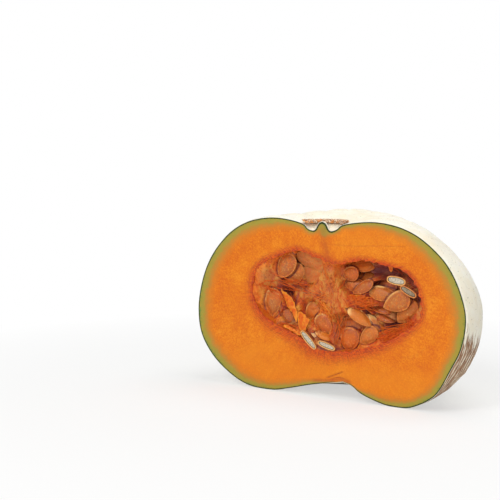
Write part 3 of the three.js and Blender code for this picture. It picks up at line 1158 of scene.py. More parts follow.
        depth, mark = np.zeros((2, *plane.shape[:2]))
        for score in self.marks:
            line = spline(score.line, np.linspace(0, len(score.line) - 1, 24))
            near = bump(distance_to_line(plane, line), 0, score.width)
            depth = np.maximum(depth, score.depth * near)
            mark = np.maximum(mark, score.brown * near)
        depth += (layered(plane, (0.12, 14, 31), (0.05, 4, 32)) + 0.12) * ease(0, 2.5, rind)
        depth += (0.25 + 0.3 * noise(plane, 2.4, 33)) * ease(7, 0, hollow)
        depth[-1] = 0
        green_core = 0.65 * bump(plane[..., 0], 1.2, 4.5) * ease(131, 136, plane[..., 1])
        reads = {
            "rind_mm": rind * (1 - 0.4 * bump(degrees, 97, 12)),
            "band": rind / round_the_cut(turn, self.band_widths) * (1 - green_core),
            "hollow": hollow / round_the_cut(turn, self.red_widths),
            "ray": np.stack([np.radians(degrees) * 75, reach * 0.1, hollow], -1) * MM,
            "mark": mark,
            "pale": self.pale(plane),
            "rind_line": 1 - bump(degrees, 277, 9),
        }
        return Sheet(behind_cut(plane, depth), reads, finish=1)

    @staticmethod
    def pale(plane: Array) -> Array:
        """Where the flesh is yellower: the wedge off the cavity's lower left, low down and near the top.

        Args:
            plane: points (x, z) of the cut.

        Returns:
            How pale it is, from 0 to 0.75.
        """
        x, z = plane[..., 0], plane[..., 1]
        share = np.clip((x + 22) / -54, 0, 1)
        wedge = 0.34 * bump(z, 44 - 13 * share, 2 + 7 * share) * ease(-18, -26, x) * ease(-92, -66, x)
        broad = 0.45 * ease(42, 18, z) + 0.35 * ease(118, 132, z) * ease(0, 25, x)
        return np.clip(wedge + broad, 0, 0.75)

    @staticmethod
    def outline(skin: Sheet) -> Array:
        """The skin's two ends as one closed line, from the stem down the right side and up the left."""
        right, left = skin.points[0], skin.points[-1]
        return np.concatenate([right, left[-2:0:-1], right[:1]])[:, [0, 2]]

    def wall(self, cut: Sheet) -> Sheet:
        """The cavity's wall: its outline shrinks with the cosine of the way in and deepens with the sine.

        Args:
            cut: the knife's face, whose first row is the cavity's edge.

        Returns:
            Deepest point to edge x round the outline.
        """
        edge = cut.points[0]
        centre = np.array([self.hollow.centre[0], 0, self.hollow.centre[1]])
        way = np.linspace(1, 0, self.wall_rows) ** 1.6 * np.pi / 2
        inwards = np.cos(way)[:, None, None]
        points = centre + (edge - centre)[None] * inwards
        points[..., 1] = edge[None, :, 1] * inwards[..., 0] + self.hollow.depth * np.sin(way)[:, None]
        even = np.ones(points.shape[:2])
        mark = 0.7 * ease(0.15, 0.5, way)[:, None] * even
        return Sheet(points, {"rind_mm": 40 * even, "band": 3 * even, "mark": mark, "hollow": 0.75 * even}, 1)

    def build(self, maker: PieceMaker, rind: Material, flesh: Material) -> None:
        """Makes the half and dresses it.

        Args:
            maker: makes the piece.
            rind: the skin's finish.
            flesh: the cut's and the cavity's finish.
        """
        skin = self.skin()
        cut = self.cut(skin)
        sheets = [skin, cut, self.wall(cut)]
        maker.make("half_fruit", sheets, [rind, flesh], replaces="pumpkin_half")


@dataclass(frozen=True)
class StemScar:
    """The corky half ring that the stem left: a lumpy profile carried round half a turn, split by cracks."""

    profile: tuple[tuple[float, float], ...] = (
        (14.6, 144.4), (18, 145), (20.8, 146.3), (20.4, 147.4), (17, 147.3), (14.4, 146),
    )
    centre_x: float = 1.2
    steps: int = 150
    profile_steps: int = 30
    crack_pitch: float = 9.0

    def build(self, maker: PieceMaker, cork: Material) -> None:
        """Makes the ring, closed at its two ends.

        Cracks are where a noise of the azimuth comes near zero, and the ring is drawn in towards the
        middle of its profile there.

        Args:
            maker: makes the piece.
            cork: the finish.
        """
        azimuth = np.linspace(0.006, np.pi - 0.006, self.steps)
        section = loop(self.profile, self.profile_steps)
        middle = section[:-1].mean(axis=0)
        degrees = np.degrees(azimuth)[:, None]
        around = np.stack([degrees * np.ones(len(section)), np.ones_like(degrees) * section[:, 1]], -1)
        crack = bump(noise(around * [1, 0.9], self.crack_pitch, 41), 0, 0.16)
        lumps = 0.35 * noise(around * [0.4, 1.0], 1.6, 42)
        scale = 1 - 0.28 * crack + 0.2 * lumps
        reach, height = np.moveaxis(middle + (section - middle)[None] * scale[..., None], -1, 0)
        x = self.centre_x + reach * np.cos(azimuth)[:, None]
        points = np.stack([x, reach * np.sin(azimuth)[:, None], height], -1)
        ends = [np.broadcast_to(end[:-1].mean(axis=0), end.shape) for end in (points[0], points[-1])]
        closed = np.concatenate([ends[0][None], points, ends[1][None]])
        cracks = np.concatenate([crack[:1], crack, crack[-1:]])
        maker.make("stem_scar_cork", [Sheet(closed, {"crack": cracks})], [cork], replaces="stem_scar")


# -------- seeds and pulp


class Coat(Enum):
    """How a seed shows."""

    CLEAN = "clean"
    FILM = "film"
    CUT = "cut"
    GREY_CUT = "grey_cut"
    HUSK = "husk"


@dataclass(frozen=True)
class Seed:
    """One seed: its angles in degrees, its size in millimetres and how it shows.

    The long axis turns in the plane of the cut, the seed rolls about it, and its round end dips into the
    fruit. lap is how far the pulp stands above the seed's middle at its edge, or None if it lies free, and
    the pulp is drawn up to it over the width of its skirt. warmth is how far its coat turns orange, and
    shine how strongly a highlight is painted on its upper-left margin. A lower tip_power makes its point
    blunter, and a lower fullness makes its ends squarer.
    """

    node: str
    turn: float
    roll: float
    dip: float
    length: float
    width: float
    thickness: float
    coat: Coat = Coat.CLEAN
    lap: float | None = None
    warmth: float = 0.15
    shine: float = 0.25
    skirt: float = 4.5
    tip_power: float = 0.2
    fullness: float = 0.93
    around_steps: int = 56
    face_steps: int = 15

    UPPER_LEFT: ClassVar[Array] = np.array([-0.6, 0.8])

    @property
    def is_cut(self) -> bool:
        """Whether the knife went through it."""
        return self.coat in (Coat.CUT, Coat.GREY_CUT)

    def rotation(self) -> Array:
        """The turn about the depth, then the dip about the height, then the roll about the long axis."""
        turned = Euler((0, math.radians(-self.turn), 0)).to_matrix()
        dipped = Euler((0, 0, math.radians(self.dip))).to_matrix()
        rolled = Euler((math.radians(self.roll), 0, 0)).to_matrix()
        return np.array(turned @ dipped @ rolled)

    def outline(self, around: Array) -> Array:
        """A full drop with its blunt point at -x and its round end at +x.

        Along is the cosine to a power near 1. Across is the sine, drawn in towards the point by a small
        power of the way along.

        Args:
            around: radians from the point.

        Returns:
            (along, across), with half sizes of 1.
        """
        along = -np.sign(np.cos(around)) * np.abs(np.cos(around)) ** self.fullness
        across = np.sin(around) * ((along + 1) / 2 + 0.003) ** self.tip_power
        return np.stack([along, across / np.abs(across).max()], -1)

    def placed(self, local: Array, place: FruitFrame) -> Array:
        """Turns points and moves them so that their box shares its centre with the CAD seed's.

        Args:
            local: points along, through and across the seed.
            place: the fruit's frame.

        Returns:
            The points in the fruit.
        """
        points = local @ self.rotation().T
        flat = points.reshape(-1, 3)
        return points - (flat.min(axis=0) + flat.max(axis=0)) / 2 + place.middle(self.node)

    def whole(self, place: FruitFrame) -> list[Sheet]:
        """Two faces that meet at the edge.

        Each face's height over the middle plane is a lens, plus a raised margin just inside the edge and a
        fine furrow inside the margin.

        Args:
            place: the fruit's frame.

        Returns:
            The two faces.
        """
        around = whole_turn(self.around_steps)
        share = np.sin(np.linspace(0, np.pi / 2, self.face_steps)) ** 0.85
        rim = self.outline(around) * [self.length / 2, self.width / 2]
        heart = np.array([0.06 * self.length, 0])
        flat = heart + (rim - heart)[None] * share[:, None, None]
        lens = 0.52 * np.sqrt(np.clip(1 - share**2, 0, 1)) + 0.48 * ease(0.95, 0.45, share)
        margin = 0.13 * bump(share, 0.93, 0.045) - 0.08 * bump(share, 0.85, 0.035)
        height = (lens + margin) * self.thickness / 2
        height[-1] = 0
        edge = share[:, None] * np.ones(len(around))
        faces = []
        for side in (-1, 1):
            dimple = 1 + 0.1 * noise(flat + side * 50, self.width / 2.4, 7 + len(self.node))
            local = behind_cut(flat, side * height[:, None] * dimple)
            faces.append(local if side < 0 else local[:, ::-1])
        warmth = np.full(edge.shape, self.warmth)
        # A painted highlight: a band just inside the edge, as strong as shine, kept to the side that faces up
        # and to the left.
        brow = self.shine * bump(edge, 0.91, 0.07 + 0.08 * self.shine)
        sheets = []
        for face in self.placed(np.stack(faces), place):
            out = (face - face[:1].mean(axis=1, keepdims=True))[..., [0, 2]]
            out /= np.linalg.norm(out, axis=-1, keepdims=True) + 1e-6
            upper = brow * ease(0.3, 0.9, out @ self.UPPER_LEFT)
            reads = {"edge": edge, "warmth": warmth, "depth_mm": face[..., 1], "upper": upper}
            sheets.append(Sheet(face, reads))
        return sheets

    def halved(self, place: FruitFrame) -> list[Sheet]:
        """A seed that the knife went through: coat, gap and kernel on the cut, and a round back.

        Args:
            place: the fruit's frame.

        Returns:
            The section and the back of the coat.
        """
        around = whole_turn(self.around_steps)
        drop = np.stack([-np.cos(around), np.sign(np.sin(around)) * np.abs(np.sin(around)) ** 0.65], -1)
        drop[[0, -1, self.around_steps // 2], 1] = 0

        # Rings inwards from the coat's edge: the coat stands proud, a gap follows, and the kernel fills it.
        half = np.array([self.length / 2, self.thickness / 2])
        insets = np.array([0, 0.15, 0.55, 0.95, 1.05, 1.2, 1.35, 1.6])
        depths = np.array([0, -0.2, -0.25, -0.05, 0.5, 0.5, 0.05, -0.15, -0.3, -0.35, -0.35])
        sizes = half - insets[:, None] * [1.3, 1]
        sizes = np.concatenate([sizes, sizes[-1] * np.array([0.7, 0.35, 0])[:, None]])
        edge = np.interp(np.arange(len(sizes)), [0, 3, 4, 5, 7, len(sizes) - 1], [1, 0.95, 0.72, 0.7, 0.5, 0])
        way = np.linspace(0, np.pi / 2, 9)
        front = behind_cut(drop[None] * sizes[:, None], depths[:, None])
        back = behind_cut(
            drop[None] * half * np.cos(way)[:, None, None], (self.width / 2 + 1.2) * np.sin(way)[:, None]
        )
        turn = np.array(Euler((0, math.radians(-self.turn), 0)).to_matrix())
        front, back = (points @ turn.T + place.middle(self.node) * [1, 0, 1] for points in (front, back))
        coat_rows, kernel_rows = slice(3, None, -1), slice(None, 2, -1)
        edges = edge[:, None] * np.ones(len(around))
        warmth = np.full(edges.shape, self.warmth)[coat_rows]
        # A cut seed's coat gets a painted highlight in proportion to its warmth.
        coat = {"edge": edges[coat_rows], "warmth": warmth, "upper": 0.8 * warmth}
        return [
            Sheet(back, {"edge": np.ones(back.shape[:2]), "warmth": np.full(back.shape[:2], self.warmth)}),
            Sheet(front[coat_rows], coat),
            Sheet(front[kernel_rows], {"edge": edges[kernel_rows]}, finish=1),
        ]


@dataclass(frozen=True)
class Spot:
    """A bell about (x, z): its height, its two half widths and the turn of the first one in degrees."""

    x: float
    z: float
    height: float
    half_width: float
    half_height: float
    turn: float = 0.0

    def at(self, x: Array, z: Array) -> Array:
        """The height times exp of minus the squared distance in half widths.

        Args:
            x: along the cut.
            z: height above the floor.

        Returns:
            Its value at each point.
        """
        cos, sin = math.cos(math.radians(self.turn)), math.sin(math.radians(self.turn))
        along = ((x - self.x) * cos + (z - self.z) * sin) / self.half_width
        across = ((z - self.z) * cos - (x - self.x) * sin) / self.half_height
        return self.height * np.exp(-(along**2) - across**2)


def spots(*rows: tuple[float, ...]) -> tuple[Spot, ...]:
    """A Spot from each row of numbers."""
    return tuple(Spot(*row) for row in rows)


def spotted(marks: Sequence[Spot], x: Array, z: Array) -> Array:
    """The sum of some spots, kept between 0 and 1."""
    return np.clip(sum(spot.at(x, z) for spot in marks), 0, 1)


@dataclass(frozen=True)
class SeedBed:
    """All the seeds and their finishes. filmed marks where the pulp's film lies over them."""

    seeds: tuple[Seed, ...] = (
        Seed("seed_left_upper_front", 58, 0, 0, 24, 17.5, 4.6, lap=1.2, skirt=8),
        Seed("seed_left_upper_behind", 42, 0, 0, 24, 17, 4.2, lap=1.4, warmth=0.4, shine=1.0, skirt=7),
        Seed("seed_left_upper_far", -28, -10, 0, 22, 14, 4, Coat.FILM, lap=2.4, skirt=9),
        Seed("seed_left_inner", 46, 0, 10, 20, 14, 4, Coat.FILM, lap=2.2, warmth=0.3, shine=0.3, skirt=8),
        Seed("seed_left_upright", 88, 0, 0, 26, 16.5, 4.6, Coat.CLEAN, 1.8, 0.2, 0.8, 8, tip_power=0.3),
        Seed("seed_left_low_film", 47, 0, 0, 16, 14.5, 4, Coat.FILM, lap=0.9, warmth=0.6, shine=0.6),
        Seed("seed_left_low", 140, 0, 0, 19, 15, 4, Coat.FILM, lap=0.6, shine=0.6),
        Seed("seed_left_edge_on", -18, -58, 0, 17.5, 10, 3, Coat.FILM, warmth=2.6, shine=3.0),
        Seed("seed_left_deep", -53, -20, 0, 20, 12, 4, Coat.FILM, lap=2.4, warmth=0.0, shine=0.0, skirt=5),
        Seed("seed_left_husk", -34, -75, 0, 10.5, 5, 1.6, Coat.HUSK, shine=1.0),
        Seed("seed_cut_left", -45, 90, 0, 20, 13, 6.2, Coat.CUT, warmth=1.0),
        Seed("seed_cut_middle", -16, 90, 0, 17, 13, 5.6, Coat.CUT, warmth=1.0),
        Seed("seed_middle_low_film", 80, 0, 0, 20.5, 18, 4.4, Coat.FILM, lap=1.0, warmth=0.0),
        Seed("seed_middle_low", -14, -10, 0, 22, 14, 4.2, Coat.FILM, lap=0.5),
        Seed("seed_right_low", 41, 0, 0, 20, 13.5, 4.4, warmth=0.5, tip_power=0.34),
        Seed("seed_right_tilted_upper", 146, 54, 0, 24.5, 12, 4.6, warmth=1.0, shine=1.6),
        Seed("seed_right_tilted_lower", -40, -42, 0, 22, 9.5, 3.8, warmth=0.6, shine=2.6),
        Seed("seed_right_inner_film", -6, 0, 0, 15, 12.5, 4, Coat.FILM, lap=1.0),
        Seed("seed_right_roof", 0, -40, 0, 26, 13, 4, Coat.FILM, warmth=0.8, shine=0.6),
        Seed("seed_right_roof_behind", 9, -40, 0, 24, 13, 4, Coat.FILM, warmth=0.8, shine=0.6),
        Seed("seed_right_shelf_behind", -9, -20, 0, 20, 12, 4, Coat.FILM),
        Seed("seed_right_shelf", 29, -25, 0, 21, 11, 4, Coat.FILM, lap=-0.4),
        Seed("seed_cut_right_upper", -8, 84, 0, 16.5, 13, 7, Coat.CUT, warmth=0.8),
        Seed("seed_cut_right_lower", -28, 84, 0, 15.5, 12, 6, Coat.GREY_CUT, warmth=0.3),
        Seed("seed_right_front", 24, 0, 0, 25, 17, 4.6, warmth=0.3, shine=0.6, tip_power=0.36),
        Seed("seed_right_front_behind", 170, 22, 0, 27, 12.4, 4.4, warmth=0.5, shine=1.6),
        Seed("seed_right_outer", 50, 0, 0, 24, 14.5, 4.4, warmth=0.6, shine=0.4),
        Seed("seed_right_stacked_upper", -7, -62, 0, 20, 12, 3.8, Coat.FILM, warmth=0.0, shine=1.4),
        Seed("seed_right_stacked_lower", -14, -62, 0, 20, 12, 3.8, Coat.FILM, warmth=0.0, shine=1.2),
        Seed("seed_right_deep", 6, -20, 0, 22, 13, 4, Coat.FILM, warmth=0.0, shine=0.0),
    )
    # How wide the painted shade is where a seed lies under the edge of a seed in front of it.
    contact: float = 0.6
    cut_sink: float = 0.6
    least_facing: float = 0.35
    filmed: tuple[Spot, ...] = spots(
        (-45, 82, 1.0, 4, 8, 15), (-54, 90, 1.5, 9, 5), (-58, 80, 0.5, 3, 8), (24, 52, 0.7, 7, 4, 30),
        (16, 48, 0.9, 5, 8), (25, 47, 0.8, 6, 4), (-14, 66, 0.8, 3, 6), (26, 104, 0.5, 8, 6),
        (2, 58, 0.7, 8, 2.5, -35), (-4, 100, 0.5, 6, 8),
    )

    def planes(self, x: Array, z: Array, place: FruitFrame) -> list[tuple[Seed, Array, Array]]:
        """Each seed's middle plane and how far each point lies outside its edge.

        A seed that stands nearly edge on to the cut has no such plane and is left out.

        Args:
            x: along the cut.
            z: height.
            place: the fruit's frame.

        Returns:
            For each seed, from the deepest: the seed, its plane's depth and the distance to its edge.
        """
        found = []
        for seed in self.seeds:
            middle = place.middle(seed.node)
            along, normal, across = seed.rotation().T
            plane = np.full(x.shape, middle[1])
            half_length, half_width = seed.length / 2, seed.width / 2
            if seed.is_cut:
                half_width = seed.thickness / 2
                across = np.cross(along, [0, 1, 0])
                plane = plane + self.cut_sink
            elif abs(normal[1]) < self.least_facing:
                continue
            else:
                plane = plane - ((x - middle[0]) * normal[0] + (z - middle[2]) * normal[2]) / normal[1]
            gap = np.stack([x, plane, z], -1) - middle
            share = np.hypot(gap @ along / half_length, gap @ across / half_width)
            found.append((middle[1], seed, plane, (share - 1) * min(half_length, half_width)))
        return [entry[1:] for entry in sorted(found, key=lambda entry: -entry[0])]

    def covered(self, seed: Seed, points: Array, place: FruitFrame) -> Array:
        """How near each point of a seed lies to the edge of a seed in front of it, a bell of the distance;
        the coat paints shade there.

        Args:
            seed: the seed.
            points: its points.
            place: the fruit's frame.

        Returns:
            1 at such an edge, falling to 0 within a few millimetres.
        """
        x, depth, z = np.moveaxis(points, -1, 0)
        near = np.zeros(x.shape)
        for other, plane, off in self.planes(x, z, place):
            if other is not seed:
                near = np.maximum(near, bump(off, -0.1, self.contact) * (plane < depth - 0.4))
        return near

    def finishes(self) -> dict[Coat, list[Material]]:
        """The materials of each coat: the coat itself, then the kernel where it shows."""
        clean = SeedCoat("seed_coat", "BE7C44", "BE7030", "A05626", "E69A4A").build()
        film = ("BF7238", "BC622A", "984A22", "DC8236")
        film = SeedCoat("seed_coat_under_film", *film, roughness=0.3).build()
        husk = ("F6E4BE", "EBCB96", "B07A48", "FAE8C4")
        husk = SeedCoat("empty_seed_coat", *husk, film="E8B878", shade="C89060").build()
        kernel = SeedKernel("seed_kernel", "D9CEB8").build()
        grey = SeedKernel("seed_kernel_grey", "A8957C", "7C6850", "4A3028").build()
        return {
            Coat.CLEAN: [clean],
            Coat.FILM: [film],
            Coat.HUSK: [husk],
            Coat.CUT: [clean, kernel],
            Coat.GREY_CUT: [film, grey],
        }

    def build(self, maker: PieceMaker) -> None:
        """Makes every seed and dresses it by its coat."""
        finishes = self.finishes()
        for seed in self.seeds:
            sheets = seed.halved(maker.place) if seed.is_cut else seed.whole(maker.place)
            for sheet in sheets:
                x, _, z = np.moveaxis(sheet.points, -1, 0)
                sheet.reads["contact"] = self.covered(seed, sheet.points, maker.place)
                sheet.reads["filmed"] = spotted(self.filmed, x, z)
            name = seed.node.replace("seed_", "seed_shape_", 1)
            maker.make(name, sheets, finishes[seed.coat], replaces=seed.node)


@dataclass(frozen=True)
class Pulp:
    """The bed of fibres and films that holds the seeds.

    dips are hollows in it. The rusty and tanned spots colour it, and the painted shade spots paint shade over
    it. rim_depths and flesh_widths give, at some degrees round the cavity's centre, how deep its rim lies and
    how wide the flesh's colour runs in.
    """

    hollow: Hollow = Hollow()
    seed_bed: SeedBed = SeedBed()
    columns: int = 330
    rows: int = 190
    back_rows: int = 8
    rim_bite: float = 0.25
    wall_gap: float = 0.4
    heart: tuple[float, float] = (12.0, 86.0)
    heart_spread: float = 20.0
    flush: float = 0.7
    ridge_height: float = 0.7
    fold_height: float = 1.1
    groove: float = 1.6
    rim_depths: tuple[tuple[float, float], ...] = (
        (0, 9), (15, 12), (25, 15), (45, 16), (53, 12), (60, 7), (68, 3), (76, 1.2), (90, 0.6), (110, 0.7),
        (130, 1.0), (160, 0.8), (195, 0.7), (205, 1.4), (232, 2.2), (249, 1.6), (270, 1.0), (285, 1.2),
        (318, 1.8), (341, 2.5), (355, 5),
    )
    flesh_widths: tuple[tuple[float, float], ...] = (
        (0, 1), (50, 1), (70, 5), (80, 12), (100, 16), (120, 7), (150, 7), (180, 10), (215, 13), (240, 7),
        (265, 4), (290, 3), (320, 2.5), (345, 2),
    )
    dips: tuple[Spot, ...] = spots(
        (-31, 102, 9, 14, 11), (-40, 80, 8, 15, 15), (-9, 64, 6, 16, 13), (38, 104, 15, 26, 14),
        (62, 84, 15, 20, 20), (34, 58, 8, 18, 14), (-41.5, 87, 24, 6.5, 6), (60, 107, 9, 13, 6),
        (59, 63.5, 10, 9, 4), (-34, 64, 8, 6, 9), (81, 87, 8, 4, 7), (36, 73, 7, 8, 2.5, -40),
    )
    # Painted shade: dark patches where the pockets, the gaps between seeds and the cavity's roof lie in
    # shade.
    dark_spots: tuple[Spot, ...] = spots(
        (-29, 91, 0.7, 19, 3.4, -14), (-28.5, 76.5, 0.9, 1.8, 9, -25), (-40, 87, 1.3, 7, 5.5),
        (-26, 107, 0.5, 4, 2, -50), (-4, 42, 0.9, 13, 1.6, -22), (11, 41, 0.8, 8, 1.5),
        (11, 48, 0.25, 3.5, 9, 8), (4, 107, 0.25, 10, 5), (-33, 64, 0.75, 5, 9, 35),
        (-44, 58, 0.6, 9, 1.5, 12), (-8, 50, 0.8, 9, 3, -25), (54, 108, 0.8, 22, 7, -12),
        (76, 101, 0.5, 6, 12, 25), (37, 88.6, 0.9, 12, 1.6), (36, 73, 0.9, 9, 2.2, -42),
        (60, 63.5, 0.95, 10, 4), (81, 87, 0.9, 4, 6), (52, 58, 0.6, 8, 3, 35), (33, 60, 0.35, 12, 7),
        (60, 74, 0.6, 16, 8), (9.5, 57, 0.3, 2, 7, 5), (24, 108, 0.6, 3, 4), (41, 105, 0.7, 8, 5),
    )
    rusty_spots: tuple[Spot, ...] = spots(
        (-47, 87, 0.9, 11, 6), (16, 105, 0.8, 5, 3.5), (30, 83, 0.8, 16, 5), (46, 83, 0.8, 9, 7),
        (20, 66, 0.6, 5, 12), (68, 58, 1.0, 20, 4, 38), (45, 49, 1.0, 16, 3.5, 20), (10, 50, 0.7, 9, 8),
        (-5, 109, 0.5, 14, 4), (80, 70, 1.0, 4, 12),
    )
    tanned_spots: tuple[Spot, ...] = spots(
        (-57, 99, 0.9, 9, 10, 50), (0, 98, 0.45, 10, 10), (-2, 84, 0.4, 12, 7), (-17, 82, 0.4, 7, 8),
        (11, 92, 0.4, 10, 18), (12.5, 58, 0.9, 3.5, 9), (-17, 111, 0.5, 5, 2, -35), (10, 70, 0.5, 6, 10),
    )

    def base_depth(self, x: Array, z: Array) -> Array:
        """How deep the pulp's front lies, before the seeds press into it.

        It is nearly flush with the cut in the middle, sinks in the dips, and meets the wall at the rim's
        own depth.

        Args:
            x: along the cut.
            z: height.

        Returns:
            The depths.
        """
        angle, reach = polar(x, z, self.hollow.centre)
        rim = round_the_cut(angle, self.rim_depths)
        inside = self.flush + sum(dip.at(x, z) for dip in self.dips)
        rim_share = ease(0.84, 1.0, reach / self.hollow.reach(angle))
        return blend(inside, np.minimum(rim, inside + rim), rim_share)

    def fibre_map(self, x: Array, z: Array) -> tuple[Array, Array]:
        """Where a point lies in the fibres, which fan out from the heart and sway a little.

        Args:
            x: along the cut.
            z: height.

        Returns:
            The distances across the fibres and along them, in millimetres.
        """
        hx, hz = self.heart
        place = np.stack([x, z], -1)
        x = x + layered(place, (2.2, 11, 55), (0.9, 4, 56))
        z = z + layered(place, (2.2, 11, 57), (0.9, 4, 58))
        rise = np.hypot(z - hz, 0.35 * (x - hx)) + self.heart_spread
        return (x - hx) / rise * 45, np.hypot(x - hx, z - hz)

    def surface(self, x: Array, z: Array, place: FruitFrame) -> tuple[Array, Array, Array]:
        """The bed's finished depth: drawn up to the seeds it holds, ridged with fibres, and cut back
        behind every seed with a narrow groove round it.

        Args:
            x: along the cut.
            z: height.
            place: the fruit's frame.

        Returns:
            The depth behind the cut, the fibres' relief from 0 to 1, and how much painted shade the grooves
            round the seeds get.
        """
        bed = self.base_depth(x, z)
        seeds = self.seed_bed.planes(x, z, place)
        for seed, plane, off in seeds:
            if seed.lap is not None:
                bed = blend(bed, np.maximum(plane - seed.lap, 0.4), ease(seed.skirt, 0.2, off))
        across, along = self.fibre_map(x, z)
        grain = np.stack([across, along * 0.4], -1)
        flat = np.stack([x, z], -1)
        ridges = noise(grain, 2.1, 51) + 0.6 * noise(grain * [1, 1.6], 1.05, 52)
        folds = layered(flat, (1, 6.5, 53), (0.6, 3.2, 60))
        bed = bed - self.ridge_height * ridges - self.fold_height * folds * ease(0.2, 2.2, bed)
        relief = np.clip(0.5 + 0.3 * (ridges + folds), 0, 1)
        ragged = 1.4 + 1.6 * noise(flat, 2.6, 54)
        gap = np.zeros(x.shape)
        for seed, plane, off in seeds:
            if seed.coat is Coat.FILM and seed.lap is not None:
                off = off + ragged
            clear = plane + (0.1 if seed.lap is None else -0.1)
            bed = blend(bed, np.maximum(bed, clear), ease(0.2, -0.9, off))
            # A groove round each seed, with painted shade in it.
            near = bump(off, 0.25, 0.6) * (bed > plane - 3)
            bed = bed + self.groove * near * (0.4 if seed.is_cut else 1)
            gap = np.maximum(gap, near * (0.55 if seed.is_cut else 0.85))
        return np.maximum(bed, 0.12), relief, gap

    def fleshy(self, x: Array, z: Array) -> Array:
        """How far the pulp's rim takes the flesh's colour: over a width that depends on the angle.

        Args:
            x: along the cut.
            z: height.

        Returns:
            1 at the rim, falling to 0 inwards.
        """
        angle, reach = polar(x, z, self.hollow.centre)
        return ease(1.0, 0.0, (self.hollow.reach(angle) - reach) / round_the_cut(angle, self.flesh_widths))

    def reads(self, x: Array, z: Array, depth: Array, relief: Array, gap: Array) -> Reads:
        """What the wet pulp's material reads.

        Args:
            x: along the cut.
            z: height.
            depth: the depth behind the cut.
            relief: the fibres' relief.
            gap: how much painted shade the grooves round the seeds get.

        Returns:
            The fibres' map and the numbers.
        """
        across, along = self.fibre_map(x, z)
        return {
            "fibre": np.stack([across, along, 0.3 * depth], -1) * MM,
            "depth_mm": depth,
            "relief": relief,
            # Painted shade: the painted shade spots and the grooves round the seeds.
            "dark": np.maximum(spotted(self.dark_spots, x, z), gap),
            "rusty": spotted(self.rusty_spots, x, z),
            "tanned": spotted(self.tanned_spots, x, z),
            "fleshy": self.fleshy(x, z),
        }

    def build(self, maker: PieceMaker, wet: Material) -> None:
        """Makes the bed: a square grid drawn out to the cavity's outline, closed by a dome behind.

        A square's (a, b) goes to the disc as a*sqrt(1 - b^2/2), b*sqrt(1 - a^2/2), and the disc's radius
        becomes the share of the way from the cavity's centre to its outline. The bed's rim bites a little
        into the flesh, and its dome stays a little clear of the wall.

        Args:
            maker: makes the piece.
            wet: the finish.
        """
        a = np.linspace(-1, 1, self.columns)[None]
        b = np.linspace(-1, 1, self.rows)[:, None]
        u = a * np.sqrt(1 - b * b / 2)
        v = b * np.sqrt(1 - a * a / 2)
        half_width, half_height = np.ptp(self.hollow.outline, axis=0) / 2
        angle = np.arctan2(v * half_height, u * half_width)
        cx, cz = self.hollow.centre
        reach = (self.hollow.reach(angle) + self.rim_bite) * np.hypot(u, v)
        x = cx + reach * np.cos(angle)
        z = cz + reach * np.sin(angle)
        depth, relief, gap = self.surface(x, z, maker.place)
        front = np.stack([x, depth, z], -1)
        reads = {name: values[::-1] for name, values in self.reads(x, z, depth, relief, gap).items()}
        bed = Sheet(front[::-1], reads)

        edge = [front[0, :-1], front[:-1, -1], front[-1, :0:-1], front[:0:-1, 0], front[:1, 0]]
        edge = np.concatenate(edge)
        way = np.linspace(0, np.pi / 2, self.back_rows)
        back = np.array([cx, 0, cz]) + (edge - [cx, 0, cz])[None] * np.cos(way)[:, None, None]
        deepest = self.hollow.depth - self.wall_gap
        back[..., 1] = edge[None, :, 1] + (deepest - edge[None, :, 1]) * np.sin(way)[:, None]
        dome = Sheet(back, {"depth_mm": back[..., 1]})
        maker.make("pulp_bed", [bed, dome], [wet], replaces="pulp")


@dataclass(frozen=True)
class Skein:
    """A bundle of loose fibres: how many, and where in the cut they start and end, with what spread.

    lift is how far their middles stand above the pulp, radius their mean half thickness, wander how far
    they stray from straight, and red how much of the reddest colour they take.
    """

    count: int
    start: tuple[float, float]
    end: tuple[float, float]
    start_spread: tuple[float, float]
    end_spread: tuple[float, float]
    lift: float
    radius: float = 0.3
    wander: float = 1.4
    red: float = 0.4


